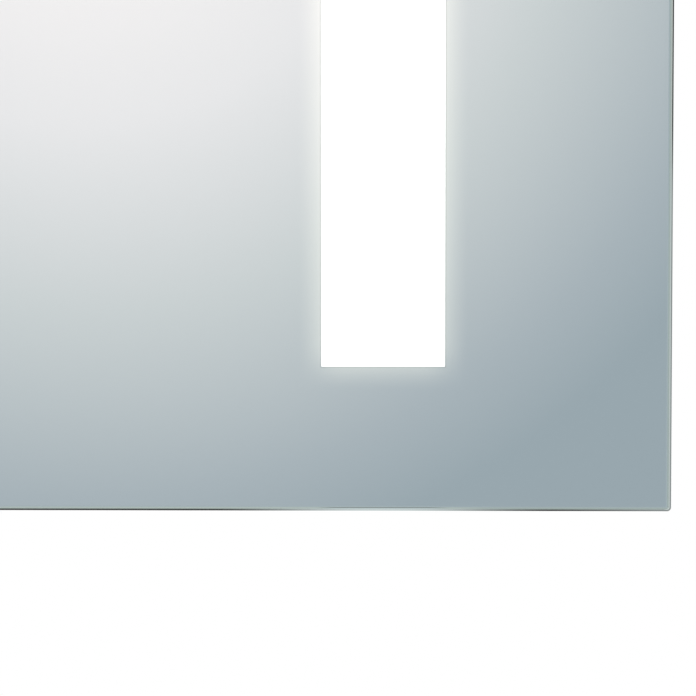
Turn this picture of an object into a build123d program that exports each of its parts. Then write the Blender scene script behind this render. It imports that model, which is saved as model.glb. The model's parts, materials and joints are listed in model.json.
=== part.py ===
from build123d import *

import os

# Lighted mirror cabinet for a bathroom wall.
#
# A shallow box of mitred aluminium extrusions carries a steel back panel, a mirrored back and three
# glass shelves. A compartment across its top holds the lamp driver, the supply terminals, a power
# outlet and a rocker switch behind a folded cover. A continuous hinge along the left edge carries
# the door: a sheet of silvered glass on a mitred hollow frame, with a second mirror on its inner
# side. Two vertical bands of the front mirror are etched clear of silver. Behind each band stands a
# channel with a board of light-emitting packages and an opal diffuser, so the band shines evenly.
#
# Frame: millimetres. X runs to the right as the user sees the front, Z up, and Y towards the wall.
# The origin is the middle of the back, in the plane that bears on the wall, so the front is at -Y.


# Front glass
glass_width = 610.0
glass_height = 762.0
glass_thickness = 5.0
glass_corner_radius = 1.0
glass_arris = 0.5
glass_overhang = 8.0
backing_thickness = 0.4

# Etched light bands, one on each side of the glass
band_width = 32.0
band_side_margin = 58.0
band_end_margin = 37.0
band_etch_depth = 0.15

# Door frame extrusion and the mirror that closes its back
door_frame_width = 15.0
door_frame_depth = 22.0
door_frame_wall = 1.5
inner_mirror_thickness = 3.0
inner_mirror_seat = 8.0
inner_mirror_play = 0.5

# Cabinet body extrusion, back panel and back mirror
body_depth = 90.0
body_side_width = 16.0
body_wall = 1.6
front_chamber_depth = 18.0
rear_chamber_depth = 15.0
back_panel_thickness = 1.5
back_panel_seat = 8.0
back_panel_play = 0.5
back_mirror_thickness = 3.0
back_mirror_play = 0.5

# Corner keys that join the mitres
key_arm = 35.0
key_play = 0.15

# Continuous hinge
hinge_end_margin = 53.0
hinge_knuckles = 11
hinge_leaf_thickness = 1.2
hinge_leaf_gap = 0.6
hinge_leaf_inset = 1.0
knuckle_radius = 3.0
knuckle_end_gap = 0.4
knuckle_notch_play = 0.5
barrel_offset = 1.2
pin_radius = 1.5
pin_play_fixed = 0.02
pin_play_running = 0.06

# Wall fixing and supply entry
wall_hole_spacing = 406.4
wall_hole_end_margin = 27.0
wall_hole_radius = 3.5
mirror_hole_radius = 8.0
supply_x = 70.0
supply_bore_radius = 7.0
bushing_sleeve_radius = 11.0
bushing_flange_radius = 14.0
bushing_flange_thickness = 2.0

# Shelves and their supports
shelf_count = 3
shelf_thickness = 5.0
shelf_front_gap = 14.5
shelf_back_gap = 3.0
shelf_row_pitch = 50.0
shelf_row_end_margin = 67.0
shelf_corner_radius = 3.0
clip_column_inset = 14.0
clip_slot_width = 6.0
clip_slot_height = 3.0
clip_slot_play = 0.1
clip_hook_length = 6.0
clip_width = 12.0
clip_plate = 1.5
clip_plate_height = 14.0
clip_reach = 13.0
clip_tip_chamfer = 3.5
shelf_pad_width = 9.0
shelf_pad_length = 9.0
shelf_pad_thickness = 1.0
shelf_side_play = 0.4

# Service compartment across the top
service_height = 57.0
service_cover_inset = 10.0
cover_thickness = 1.2
cover_play = 0.4
vent_count = 9
vent_pitch = 16.0
vent_width = 4.0
vent_length = 34.0
bracket_thickness = 1.5
bracket_arm = 16.0
bracket_leg = 20.0
bracket_end_gap = 6.5
bracket_slot = 4.0
cover_screw_head_radius = 2.8
cover_screw_head_height = 1.2
cover_screw_radius = 1.5
cover_screw_length = 6.0
cover_screw_play = 0.2

# Lamp driver and supply terminals
driver_x = -90.0
driver_length = 150.0
driver_depth = 40.0
driver_height = 26.0
driver_ear = 12.0
driver_ear_width = 20.0
driver_ear_thickness = 2.0
driver_edge_chamfer = 2.0
terminal_x = 24.0
terminal_pitch = 11.0
terminal_ways = 3
terminal_depth = 18.0
terminal_height = 20.0
terminal_entry_width = 5.0
terminal_entry_depth = 12.0

# Power outlet
outlet_side_margin = 156.0
outlet_face_width = 66.5
outlet_face_height = 33.0
outlet_face_proud = 2.5
outlet_body_width = 62.0
outlet_body_height = 29.0
outlet_body_depth = 28.0
outlet_strap_width = 106.0
outlet_strap_height = 14.0
outlet_strap_thickness = 1.5
outlet_spacing = 33.0
blade_spacing = 12.7
blade_slot = 2.2
blade_long = 8.0
blade_short = 6.4
earth_hole_radius = 2.5
earth_hole_offset = 11.5
socket_depth = 14.0
outlet_corner_radius = 2.0
outlet_play = 0.3

# Rocker switch
switch_side_margin = 36.0
switch_bezel_width = 15.0
switch_bezel_height = 22.0
switch_bezel_proud = 1.5
switch_body_depth = 16.0
switch_body_step = 1.0
switch_wall = 1.4
rocker_front = 5.4
rocker_hollow = 0.9
rocker_back = 2.2
rocker_side_play = 0.35
rocker_end_play = 1.0
rocker_pivot_depth = 3.6
rocker_throw = 14.0
trunnion_radius = 1.4
trunnion_length = 0.9
trunnion_play = 0.08
switch_body_play = 0.05

# Door catches and buffers
catch_end_margin = 123.0
catch_flange_width = 14.0
catch_flange_height = 46.0
catch_flange_thickness = 1.2
catch_body_width = 10.0
catch_body_height = 38.0
catch_body_depth = 12.0
catch_gap = 0.3
catch_play = 0.1
magnet_width = 6.0
magnet_height = 30.0
magnet_depth = 8.0
striker_width = 13.0
striker_height = 40.0
buffer_radius = 4.5
buffer_gap = 0.3
buffer_edge_inset = 14.0

# Glands where the lamp lead passes from the body to the door, beside the hinge
gland_rise = 10.0
gland_flange_width = 10.0
gland_flange_height = 12.0
gland_flange_thickness = 0.9
gland_wall = 1.2
gland_rim = 1.5
gland_play = 0.1

# Light channel behind each band
channel_band_overlap = 6.0
channel_back_gap = 3.5
channel_wall = 1.2
channel_flange = 7.0
channel_end_gap = 0.5
diffuser_thickness = 2.0
diffuser_front_gap = 0.4
diffuser_play = 0.3
diffuser_rib = 1.5
diffuser_rib_thickness = 1.0
end_cap_thickness = 3.0
end_cap_play = 0.2
end_cap_boss = 5.0
board_width = 12.0
board_thickness = 1.2
board_end_margin = 9.0
package_count = 30
package_width = 2.8
package_length = 3.5
package_height = 0.8
package_end_margin = 12.0

# Planes of the door and the body, front to back
door_gap = 2 * hinge_leaf_thickness + hinge_leaf_gap
body_front_y = -body_depth
door_back_y = body_front_y - door_gap
door_front_y = door_back_y - door_frame_depth
glass_back_y = door_front_y - backing_thickness
glass_front_y = glass_back_y - glass_thickness
back_mirror_front_y = -back_panel_thickness - back_mirror_thickness
cover_front_y = body_front_y + service_cover_inset
cover_back_y = cover_front_y + cover_thickness

# Outlines across the front
frame_width = glass_width - 2 * glass_overhang
frame_height = glass_height - 2 * glass_overhang
inner_half_width = frame_width / 2 - body_side_width
inner_half_height = frame_height / 2 - body_side_width
service_floor_z = inner_half_height - service_height
service_middle_z = inner_half_height - service_height / 2
band_x = glass_width / 2 - band_side_margin - band_width / 2
band_length = glass_height - 2 * band_end_margin

# Places that more than one piece uses
hinge_length = frame_height - 2 * hinge_end_margin
hinge_x = -(frame_width / 2 + knuckle_radius + barrel_offset)
hinge_y = body_front_y - door_gap / 2
body_middle_x = frame_width / 2 - body_side_width / 2
door_middle_x = frame_width / 2 - door_frame_width / 2
catch_z = frame_height / 2 - catch_end_margin
gland_z = hinge_length / 2 + gland_rise
striker_thickness = door_gap - catch_flange_thickness - catch_gap
driver_y = (cover_back_y - back_panel_thickness) / 2
outlet_x = inner_half_width - outlet_side_margin
switch_x = inner_half_width - switch_side_margin
rocker_y = cover_front_y - switch_bezel_proud + rocker_pivot_depth
well_width = switch_bezel_width - 2 * (switch_body_step + switch_wall)
well_height = switch_bezel_height - 2 * (switch_body_step + switch_wall)
channel_width = band_width + 2 * channel_band_overlap
diffuser_back_y = door_front_y + diffuser_front_gap + diffuser_thickness
channel_depth = door_frame_depth - inner_mirror_thickness - door_frame_wall - channel_back_gap

SIDES = (-1, 1)
TO_WALL = (0, 1, 0)

def span(middle, size):
    """Lowest and highest coordinate of something centred on a middle."""
    return middle - size / 2, middle + size / 2


def block(x_range, y_range, z_range):
    """A box given by its lowest and highest coordinate on each axis."""
    spans = (x_range, y_range, z_range)
    centre = [(low + high) / 2 for low, high in spans]
    return Pos(*centre) * Box(*[high - low for low, high in spans])


def spread(count, pitch):
    """Evenly pitched coordinates, centred on zero."""
    return [(index - (count - 1) / 2) * pitch for index in range(count)]


def group(solids):
    """Several separate solids as one part."""
    return Compound(children=list(solids))


def outline(*points):
    """A flat face inside a closed run of straight lines."""
    return make_face(Polyline(*points, close=True))


def rod(radius, length, end, direction):
    """A cylinder that starts at one end point and runs along a direction."""
    return extrude(Plane(origin=end, z_dir=direction) * Circle(radius), length)


def cover_screw_form():
    """A pan-head screw of the service cover, its head on the sheet at the origin."""
    profile = outline(
        (0, -cover_screw_head_height),
        (cover_screw_head_radius, -cover_screw_head_height),
        (cover_screw_head_radius, 0),
        (cover_screw_radius, 0),
        (cover_screw_radius, cover_screw_length),
        (0, cover_screw_length),
    )
    return revolve(profile, Axis.Y)


def cover_screw_places():
    """Screws through the service cover into its brackets, one at each end."""
    x = inner_half_width - bracket_arm / 2
    return [Pos(side * x, cover_front_y, service_middle_z) for side in SIDES]


def wall_hole_places():
    """Centres of the four wall-fixing holes, as X and Z."""
    z = inner_half_height - wall_hole_end_margin
    return [(side_x * wall_hole_spacing / 2, side_z * z) for side_x in SIDES for side_z in SIDES]


def shelf_rows():
    """Heights of the rows of slots that the shelf clips hook into."""
    first = shelf_row_end_margin - inner_half_height
    last = service_floor_z - shelf_row_end_margin
    return [first + row * shelf_row_pitch for row in range(int((last - first) // shelf_row_pitch) + 1)]


def shelf_heights():
    """Heights of the rows that carry a shelf, spread up the cabinet."""
    rows = shelf_rows()
    return [rows[len(rows) * (index + 1) // (shelf_count + 1)] for index in range(shelf_count)]


def clip_columns():
    """Y of the front and the rear column of clip slots."""
    return (
        body_front_y + shelf_front_gap + clip_column_inset,
        back_mirror_front_y - shelf_back_gap - clip_column_inset,
    )


def body_section():
    """Section of the body extrusion: X inwards from its outer face, Y in the cabinet's own frame."""
    rebate = -back_panel_thickness
    section = outline(
        (0, body_front_y),
        (body_side_width, body_front_y),
        (body_side_width, rebate),
        (body_side_width - back_panel_seat, rebate),
        (body_side_width - back_panel_seat, 0),
        (0, 0),
    )
    front_web = body_front_y + front_chamber_depth
    rear_web = -rear_chamber_depth
    chambers = (
        (body_front_y + body_wall, front_web),
        (front_web + body_wall, rear_web - body_wall),
        (rear_web, rebate - body_wall),
    )
    for low, high in chambers:
        chamber = Rectangle(body_side_width - 2 * body_wall, high - low)
        section -= Pos(body_side_width / 2, (low + high) / 2) * chamber
    return section


def door_frame_section():
    """Section of the door extrusion: a box with a ledge that the inner mirror lies on."""
    seat_back = door_back_y - inner_mirror_thickness
    seat_front = seat_back - door_frame_wall
    ledge_x = door_frame_width + inner_mirror_seat
    section = outline(
        (0, door_front_y),
        (door_frame_width, door_front_y),
        (door_frame_width, seat_front),
        (ledge_x, seat_front),
        (ledge_x, seat_back),
        (door_frame_width, seat_back),
        (door_frame_width, door_back_y),
        (0, door_back_y),
    )
    hollow = Rectangle(door_frame_width - 2 * door_frame_wall, door_frame_depth - 2 * door_frame_wall)
    return section - Pos(door_frame_width / 2, (door_front_y + door_back_y) / 2) * hollow


def mitred_member(section, length):
    """A length of extrusion along Z, its outer face at X zero and both ends mitred at 45 degrees."""
    size = section.bounding_box()
    reach = size.max.X
    bar = Pos(0, 0, -length / 2) * extrude(section, length)
    trapezium = outline(
        (0, -length / 2), (reach, reach - length / 2), (reach, length / 2 - reach), (0, length / 2)
    )
    keep = Pos(0, size.max.Y, 0) * extrude(Plane.XZ * trapezium, size.size.Y)
    return bar & keep


def mitred_frame(section, width, height):
    """The left, right, bottom and top members of a rectangular frame."""
    upright = mitred_member(section, height)
    level = mitred_member(section, width)
    return {
        "left": Pos(-width / 2, 0, 0) * upright,
        "right": Pos(width / 2, 0, 0) * Rot(0, 180, 0) * upright,
        "bottom": Pos(0, 0, -height / 2) * Rot(0, -90, 0) * level,
        "top": Pos(0, 0, height / 2) * Rot(0, 90, 0) * level,
    }


def corner_keys(inset, thickness, y_range):
    """Four L-shaped keys in the corners of a hollow frame, each arm inside one mitred member."""
    edge_x, edge_z = frame_width / 2 - inset, frame_height / 2 - inset
    upright = block((edge_x - thickness, edge_x), y_range, (edge_z - key_arm, edge_z))
    level = block((edge_x - key_arm, edge_x), y_range, (edge_z - thickness, edge_z))
    upper_right = upright + level
    right = [upper_right, mirror(upper_right, Plane.XY)]
    return right + [mirror(key, Plane.YZ) for key in right]


def wall_cut(x, z, width, height, y_range, play):
    """A rectangular cut with play all round, through a range of Y."""
    return block(span(x, width + 2 * play), y_range, span(z, height + 2 * play))


def gland_cut(face_y, wall):
    """The cut for a lead gland through a wall that starts at a face and runs along Y."""
    width = gland_flange_width - 2 * gland_rim
    height = gland_flange_height - 2 * gland_rim
    return wall_cut(-body_middle_x, gland_z, width, height, sorted((face_y, face_y + wall)), 0)


def make_body_members():
    """The four sides of the cabinet box with the cuts that other pieces use."""
    members = mitred_frame(body_section(), frame_width, frame_height)
    slot_width = clip_slot_width + 2 * clip_slot_play
    slot_height = clip_slot_height + 2 * clip_slot_play
    for name, side in (("left", -1), ("right", 1)):
        wall_x = sorted((side * inner_half_width, side * (inner_half_width + body_wall)))
        members[name] -= [
            block(wall_x, span(y, slot_width), span(z, slot_height))
            for y in clip_columns()
            for z in shelf_rows()
        ]
    members["left"] -= gland_cut(body_front_y, body_wall)
    front_wall = (body_front_y, body_front_y + body_wall)
    members["right"] -= [
        wall_cut(body_middle_x, side * catch_z, catch_body_width, catch_body_height, front_wall, catch_play)
        for side in SIDES
    ]
    return members


def make_body_keys():
    """Keys in the front and rear chambers at each corner of the body."""
    inset = body_wall + key_play
    thickness = body_side_width - 2 * inset
    front = (body_front_y + inset, body_front_y + front_chamber_depth - key_play)
    rear = (-rear_chamber_depth + key_play, -back_panel_thickness - inset)
    return group(corner_keys(inset, thickness, front) + corner_keys(inset, thickness, rear))


def make_back_panel():
    """The steel back, bonded in the rebate of the body, with wall-fixing holes and the supply entry."""
    width = 2 * (inner_half_width + back_panel_seat - back_panel_play)
    height = 2 * (inner_half_height + back_panel_seat - back_panel_play)
    panel = block(span(0, width), (-back_panel_thickness, 0), span(0, height))
    inner_y = -back_panel_thickness
    panel -= [
        rod(wall_hole_radius, back_panel_thickness, (x, inner_y, z), TO_WALL) for x, z in wall_hole_places()
    ]
    supply = (supply_x, inner_y, service_middle_z)
    return panel - rod(bushing_sleeve_radius, back_panel_thickness, supply, TO_WALL)


def make_back_mirror():
    """The mirror on the back, cut round the two lower wall fixings, up to the service compartment."""
    plate = block(
        span(0, 2 * (inner_half_width - back_mirror_play)),
        (back_mirror_front_y, -back_panel_thickness),
        (back_mirror_play - inner_half_height, service_floor_z - back_mirror_play),
    )
    return plate - [
        rod(mirror_hole_radius, back_mirror_thickness, (x, back_mirror_front_y, z), TO_WALL)
        for x, z in wall_hole_places()
        if z < 0
    ]


def make_supply_bushing():
    """Bushing in the supply entry: a flange inside and a sleeve that ends flush with the wall plane."""
    depth = back_panel_thickness + bushing_flange_thickness
    profile = Plane.XY * outline(
        (supply_bore_radius, -depth),
        (bushing_flange_radius, -depth),
        (bushing_flange_radius, -back_panel_thickness),
        (bushing_sleeve_radius, -back_panel_thickness),
        (bushing_sleeve_radius, 0),
        (supply_bore_radius, 0),
    )
    return Pos(supply_x, 0, service_middle_z) * revolve(profile, Axis.Y)


def make_shelf(row_z):
    """A glass shelf with eased front corners, lying on the pads of one row of clips."""
    underside = row_z + clip_plate / 2 + shelf_pad_thickness
    plate = block(
        span(0, 2 * (inner_half_width - clip_plate - shelf_side_play)),
        (body_front_y + shelf_front_gap, back_mirror_front_y - shelf_back_gap),
        (underside, underside + shelf_thickness),
    )
    return fillet(plate.edges().filter_by(Axis.Z).group_by(Axis.Y)[0], shelf_corner_radius)


def shelf_clip_form():
    """One bent shelf clip: a hook in the wall's slot, a plate on the wall, and a tongue towards +X."""
    plate = block((0, clip_plate), span(0, clip_width), span(0, clip_plate_height))
    tongue = block((0, clip_reach), span(0, clip_width), span(0, clip_plate))
    tip = tongue.edges().filter_by(Axis.Z).group_by(Axis.X)[-1]
    neck = block((-clip_hook_length, 0), span(0, clip_slot_width), span(0, clip_slot_height))
    return plate + chamfer(tip, clip_tip_chamfer) + neck


def make_shelf_clips():
    """Every shelf clip, and the clear pad on each tongue."""
    clip = shelf_clip_form()
    pad = block(
        span((clip_plate + clip_reach) / 2, shelf_pad_length),
        span(0, shelf_pad_width),
        (clip_plate / 2, clip_plate / 2 + shelf_pad_thickness),
    )
    places = [
        Pos(side * inner_half_width, y, z) * Rot(0, 0, turn)
        for side, turn in ((-1, 0), (1, 180))
        for y in clip_columns()
        for z in shelf_heights()
    ]
    return {
        "shelf_clips": group(place * clip for place in places),
        "shelf_pads": group(place * pad for place in places),
    }


def hinge_leaf(first_knuckle, y_range, inner_x, pin_play):
    """A hinge leaf: a plate, and a rolled knuckle at every other place along the barrel."""
    plate_x = hinge_x + knuckle_radius + knuckle_notch_play
    pitch = hinge_length / hinge_knuckles
    leaf = block((plate_x, inner_x), y_range, span(0, hinge_length))
    for middle in spread(hinge_knuckles, pitch)[first_knuckle::2]:
        low, high = span(middle, pitch - knuckle_end_gap)
        leaf += block((hinge_x, plate_x), y_range, (low, high))
        leaf += rod(knuckle_radius, high - low, (hinge_x, hinge_y, low), (0, 0, 1))
    return leaf - hinge_rod(pin_radius + pin_play)


def hinge_rod(radius):
    """A rod on the hinge's axis, as long as the hinge."""
    return rod(radius, hinge_length, (hinge_x, hinge_y, -hinge_length / 2), (0, 0, 1))


def make_hinge():
    """Both leaves and the pin. The pin is fixed in the body's leaf and the door's leaf turns on it."""
    return {
        "hinge_leaf_body": hinge_leaf(
            0,
            (body_front_y - hinge_leaf_thickness, body_front_y),
            -inner_half_width - hinge_leaf_inset,
            pin_play_fixed,
        ),
        "hinge_leaf_door": hinge_leaf(
            1,
            (door_back_y, door_back_y + hinge_leaf_thickness),
            door_frame_width - frame_width / 2 - hinge_leaf_inset,
            pin_play_running,
        ),
        "hinge_pin": hinge_rod(pin_radius),
    }


def lead_gland(face_y, wall, outwards):
    """A flat gland for the lamp lead: a flange on a face, and a sleeve through the wall behind it."""
    outer_y = face_y + outwards * gland_flange_thickness
    inner_y = face_y - outwards * wall
    flange = wall_cut(
        -body_middle_x, gland_z, gland_flange_width, gland_flange_height, sorted((outer_y, face_y)), 0
    )
    width = gland_flange_width - 2 * gland_rim
    height = gland_flange_height - 2 * gland_rim
    sleeve = wall_cut(-body_middle_x, gland_z, width, height, sorted((face_y, inner_y)), -gland_play)
    passage = wall_cut(-body_middle_x, gland_z, width, height, sorted((outer_y, inner_y)), -gland_wall)
    return flange + sleeve - passage


def make_catches():
    """Magnetic catches in the right member, their strikers on the door, and the door buffers."""
    flange_y = body_front_y - catch_flange_thickness
    catch_y = (flange_y, body_front_y + catch_body_depth)
    magnet_y = (flange_y, flange_y + magnet_depth)
    holders, magnets, strikers, buffers = [], [], [], []
    for side in SIDES:
        z = side * catch_z
        flange_depth = (flange_y, body_front_y)
        flange = wall_cut(body_middle_x, z, catch_flange_width, catch_flange_height, flange_depth, 0)
        holder = wall_cut(body_middle_x, z, catch_body_width, catch_body_height, catch_y, 0)
        magnet = wall_cut(body_middle_x, z, magnet_width, magnet_height, magnet_y, 0)
        holders.append(flange + holder - magnet)
        magnets.append(magnet)
        striker_y = (door_back_y, door_back_y + striker_thickness)
        strikers.append(wall_cut(door_middle_x, z, striker_width, striker_height, striker_y, 0))
        buffer_z = side * (frame_height / 2 - buffer_edge_inset)
        start = (body_middle_x, door_back_y + buffer_gap, buffer_z)
        buffers.append(rod(buffer_radius, door_gap - buffer_gap, start, TO_WALL))
    return {
        "catch_holders": group(holders),
        "catch_magnets": group(magnets),
        "striker_plates": group(strikers),
        "door_buffers": group(buffers),
    }


def make_service_cover():
    """The folded cover of the compartment: front, floor with vents, and the cut-outs for its devices."""
    width = span(0, 2 * (inner_half_width - cover_play))
    back = -back_panel_thickness - cover_play
    sheet = (cover_front_y, cover_back_y)
    front = block(width, sheet, (service_floor_z, inner_half_height - cover_play))
    floor_z = (service_floor_z, service_floor_z + cover_thickness)
    cover = front + block(width, (cover_front_y, back), floor_z)
    front_edges = cover.edges().filter_by(Axis.X).group_by(Axis.Y)[0]
    cover = fillet(front_edges.sort_by(Axis.Z)[0], cover_thickness)
    vent_y = span((cover_front_y + back) / 2, vent_length)
    cover -= [block(span(driver_x + x, vent_width), vent_y, floor_z) for x in spread(vent_count, vent_pitch)]
    middle = service_middle_z
    cover -= wall_cut(outlet_x, middle, outlet_face_width, outlet_face_height, sheet, outlet_play)
    cover -= wall_cut(switch_x, middle, switch_bezel_width, switch_bezel_height, sheet, -switch_body_step)
    hole = rod(cover_screw_radius + cover_screw_play, cover_thickness, (0, 0, 0), TO_WALL)
    return cover - [place * hole for place in cover_screw_places()]


def make_service_brackets():
    """Two angle brackets on the side members, slotted for the screws that hold the cover."""
    height = span(service_middle_z, service_height - 2 * bracket_end_gap)
    arm_y = (cover_back_y, cover_back_y + bracket_thickness)
    slot = block(span(0, bracket_slot), arm_y, span(service_middle_z, bracket_slot))
    brackets = []
    for side in SIDES:
        wall = side * inner_half_width
        leg_x = sorted((wall, wall - side * bracket_thickness))
        arm_x = sorted((wall, wall - side * bracket_arm))
        leg = block(leg_x, (cover_back_y, cover_back_y + bracket_leg), height)
        middle_x = side * (inner_half_width - bracket_arm / 2)
        brackets.append(leg + block(arm_x, arm_y, height) - Pos(middle_x, 0, 0) * slot)
    return group(brackets)


def make_led_driver():
    """The sealed lamp driver under the top member, with a fixing ear at each end."""
    top = inner_half_height
    case = block(span(driver_x, driver_length), span(driver_y, driver_depth), (top - driver_height, top))
    case = chamfer(case.edges().filter_by(Axis.X).group_by(Axis.Z)[0], driver_edge_chamfer)
    ears = block(
        span(driver_x, driver_length + 2 * driver_ear),
        span(driver_y, driver_ear_width),
        (top - driver_ear_thickness, top),
    )
    return case + ears


def make_terminal_block():
    """The supply terminals on the back panel, with a conductor entry below each."""
    y_range = (-back_panel_thickness - terminal_depth, -back_panel_thickness)
    low_z, high_z = span(service_middle_z, terminal_height)
    case = block(span(terminal_x, terminal_ways * terminal_pitch), y_range, (low_z, high_z))
    entry_y = span(sum(y_range) / 2, terminal_entry_width)
    return case - [
        block(span(terminal_x + x, terminal_entry_width), entry_y, (low_z, low_z + terminal_entry_depth))
        for x in spread(terminal_ways, terminal_pitch)
    ]


def outlet_plate(width, height, y_range):
    """A rectangular layer of the power outlet."""
    return block(span(outlet_x, width), y_range, span(service_middle_z, height))


def make_outlet():
    """A two-gang power outlet lying on its side: face, strap, body, blade slots and earth holes."""
    mouth = cover_front_y - outlet_face_proud
    face = outlet_plate(outlet_face_width, outlet_face_height, (mouth, cover_back_y))
    face = fillet(face.edges().filter_by(Axis.Y), outlet_corner_radius)
    strap_y = (cover_back_y, cover_back_y + outlet_strap_thickness)
    strap = outlet_plate(outlet_strap_width, outlet_strap_height, strap_y)
    body_y = (cover_back_y, cover_back_y + outlet_body_depth)
    device = face + strap + outlet_plate(outlet_body_width, outlet_body_height, body_y)
    inside = (mouth, mouth + socket_depth)
    for x in spread(2, outlet_spacing):
        centre = outlet_x + x
        for rise, length in zip(spread(2, blade_spacing), (blade_long, blade_short)):
            device -= block(span(centre, length), inside, span(service_middle_z + rise, blade_slot))
        earth = (centre - earth_hole_offset, mouth, service_middle_z)
        device -= rod(earth_hole_radius, socket_depth, earth, TO_WALL)
    return device


def switch_plate(width, height, y_range):
    """A rectangular layer of the switch housing."""
    return block(span(switch_x, width), y_range, span(service_middle_z, height))


def make_switch_housing():
    """The switch housing that snaps into the cover: a bezel, a well for the rocker and its bearings."""
    bezel_front = cover_front_y - switch_bezel_proud
    bezel = switch_plate(switch_bezel_width, switch_bezel_height, (bezel_front, cover_front_y))
    bezel = fillet(bezel.edges().filter_by(Axis.Y), switch_body_step)
    step = 2 * (switch_body_step + switch_body_play)
    body_y = (cover_front_y, cover_front_y + switch_body_depth)
    body = switch_plate(switch_bezel_width - step, switch_bezel_height - step, body_y)
    well = switch_plate(well_width, well_height, (bezel_front, rocker_y + rocker_back + switch_wall))
    return bezel + body - well - rocker_axle(trunnion_radius + trunnion_play, trunnion_length)


def rocker_axle(radius, reach):
    """A rod on the rocker's axis that reaches past both walls of its well."""
    length = well_width + 2 * reach
    return rod(radius, length, (switch_x - length / 2, rocker_y, service_middle_z), (1, 0, 0))


def make_switch_rocker():
    """The rocker, thrown to its upper side, with a trunnion on each flank."""
    half_height = well_height / 2 - rocker_end_play
    side = outline(
        (-rocker_front, -half_height),
        (rocker_hollow - rocker_front, 0),
        (-rocker_front, half_height),
        (0, half_height),
        (rocker_back, half_height / 2),
        (rocker_back, -half_height / 2),
        (0, -half_height),
    )
    width = well_width - 2 * rocker_side_play
    paddle = Pos(-width / 2, 0, 0) * extrude(Plane.YZ * side, width)
    paddle = Pos(switch_x, rocker_y, service_middle_z) * Rot(-rocker_throw / 2, 0, 0) * paddle
    return paddle + rocker_axle(trunnion_radius, trunnion_length - trunnion_play)


def band_windows(y_range):
    """A block over each light band, through a range of Y."""
    return [block(span(side * band_x, band_width), y_range, span(0, band_length)) for side in SIDES]


def make_door_glass():
    """The front glass: dubbed corners, an arris on both edges, and the two bands etched in its back."""
    glass = block(span(0, glass_width), (glass_front_y, glass_back_y), span(0, glass_height))
    glass = fillet(glass.edges().filter_by(Axis.Y), glass_corner_radius)
    glass = chamfer(glass.faces().filter_by(Axis.Y).edges(), glass_arris)
    return glass - band_windows((glass_back_y - band_etch_depth, glass_back_y))


def make_mirror_backing():
    """The silvering with its paint and safety film, cut away over the two bands."""
    depth = (glass_back_y, door_front_y)
    film = block(span(0, glass_width - 2 * glass_arris), depth, span(0, glass_height - 2 * glass_arris))
    return film - band_windows(depth)


def make_door_members():
    """The four members of the door frame, the left one cut for the lead gland."""
    members = mitred_frame(door_frame_section(), frame_width, frame_height)
    members["left"] -= gland_cut(door_back_y, -door_frame_wall)
    return members


def make_door_keys():
    """The keys at the corners of the door frame."""
    inset = door_frame_wall + key_play
    depth = (door_front_y + inset, door_back_y - inset)
    return group(corner_keys(inset, door_frame_width - 2 * inset, depth))


def make_door_inner_mirror():
    """The mirror that closes the back of the door, lying on the frame's ledge."""
    play = 2 * (door_frame_width + inner_mirror_play)
    depth = (door_back_y - inner_mirror_thickness, door_back_y)
    return block(span(0, frame_width - play), depth, span(0, frame_height - play))


def channel_section():
    """Section of the light channel: floor, walls, flanges on the mirror, and ribs behind the diffuser."""
    half = channel_width / 2
    flange_y = door_front_y + channel_wall
    back = door_front_y + channel_depth
    section = outline(
        (-half - channel_flange, door_front_y),
        (half + channel_flange, door_front_y),
        (half + channel_flange, flange_y),
        (half, flange_y),
        (half, back),
        (-half, back),
        (-half, flange_y),
        (-half - channel_flange, flange_y),
    )
    inside = half - channel_wall
    hollow_depth = channel_depth - channel_wall
    section -= Pos(0, door_front_y + hollow_depth / 2) * Rectangle(2 * inside, hollow_depth)
    rib = Rectangle(diffuser_rib, diffuser_rib_thickness)
    rib_y = diffuser_back_y + diffuser_rib_thickness / 2
    return section + [Pos(side * (inside - diffuser_rib / 2), rib_y) * rib for side in SIDES]


def end_cap(end, channel_end, outer_end):
    """An end cap: a plate over one end of the channel, and a boss between the ribs and the board."""
    back = door_front_y + channel_depth
    plate_z = sorted((end * channel_end, end * outer_end))
    plate = block(span(0, channel_width), (door_front_y + end_cap_play, back), plate_z)
    boss_y = (
        diffuser_back_y + diffuser_rib_thickness + end_cap_play,
        back - channel_wall - board_thickness - end_cap_play,
    )
    boss_width = channel_width - 2 * (channel_wall + end_cap_play)
    boss_z = sorted((end * channel_end, end * (channel_end - end_cap_boss)))
    return plate + block(span(0, boss_width), boss_y, boss_z)


def make_light(side):
    """One light: its channel, end caps, diffuser, board and row of packages, behind one band."""
    place = Pos(side * band_x, 0, 0)
    outer_end = frame_height / 2 - door_frame_width - channel_end_gap
    channel_end = outer_end - end_cap_thickness
    channel = Pos(0, 0, -channel_end) * extrude(channel_section(), 2 * channel_end)
    diffuser = block(
        span(0, channel_width - 2 * (channel_wall + diffuser_play)),
        (door_front_y + diffuser_front_gap, diffuser_back_y),
        span(0, 2 * channel_end),
    )
    floor_y = door_front_y + channel_depth - channel_wall
    board_front = floor_y - board_thickness
    board_length = 2 * (channel_end - board_end_margin)
    board = block(span(0, board_width), (board_front, floor_y), span(0, board_length))
    package_y = (board_front - package_height, board_front)
    package_pitch = (board_length - 2 * package_end_margin) / (package_count - 1)
    packages = [
        block(span(0, package_width), package_y, span(z, package_length))
        for z in spread(package_count, package_pitch)
    ]
    return {
        "light_channel": place * channel,
        "channel_end_caps": group(place * end_cap(end, channel_end, outer_end) for end in SIDES),
        "light_diffuser": place * diffuser,
        "led_board": place * board,
        "led_packages": group(place * package for package in packages),
    }


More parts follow.
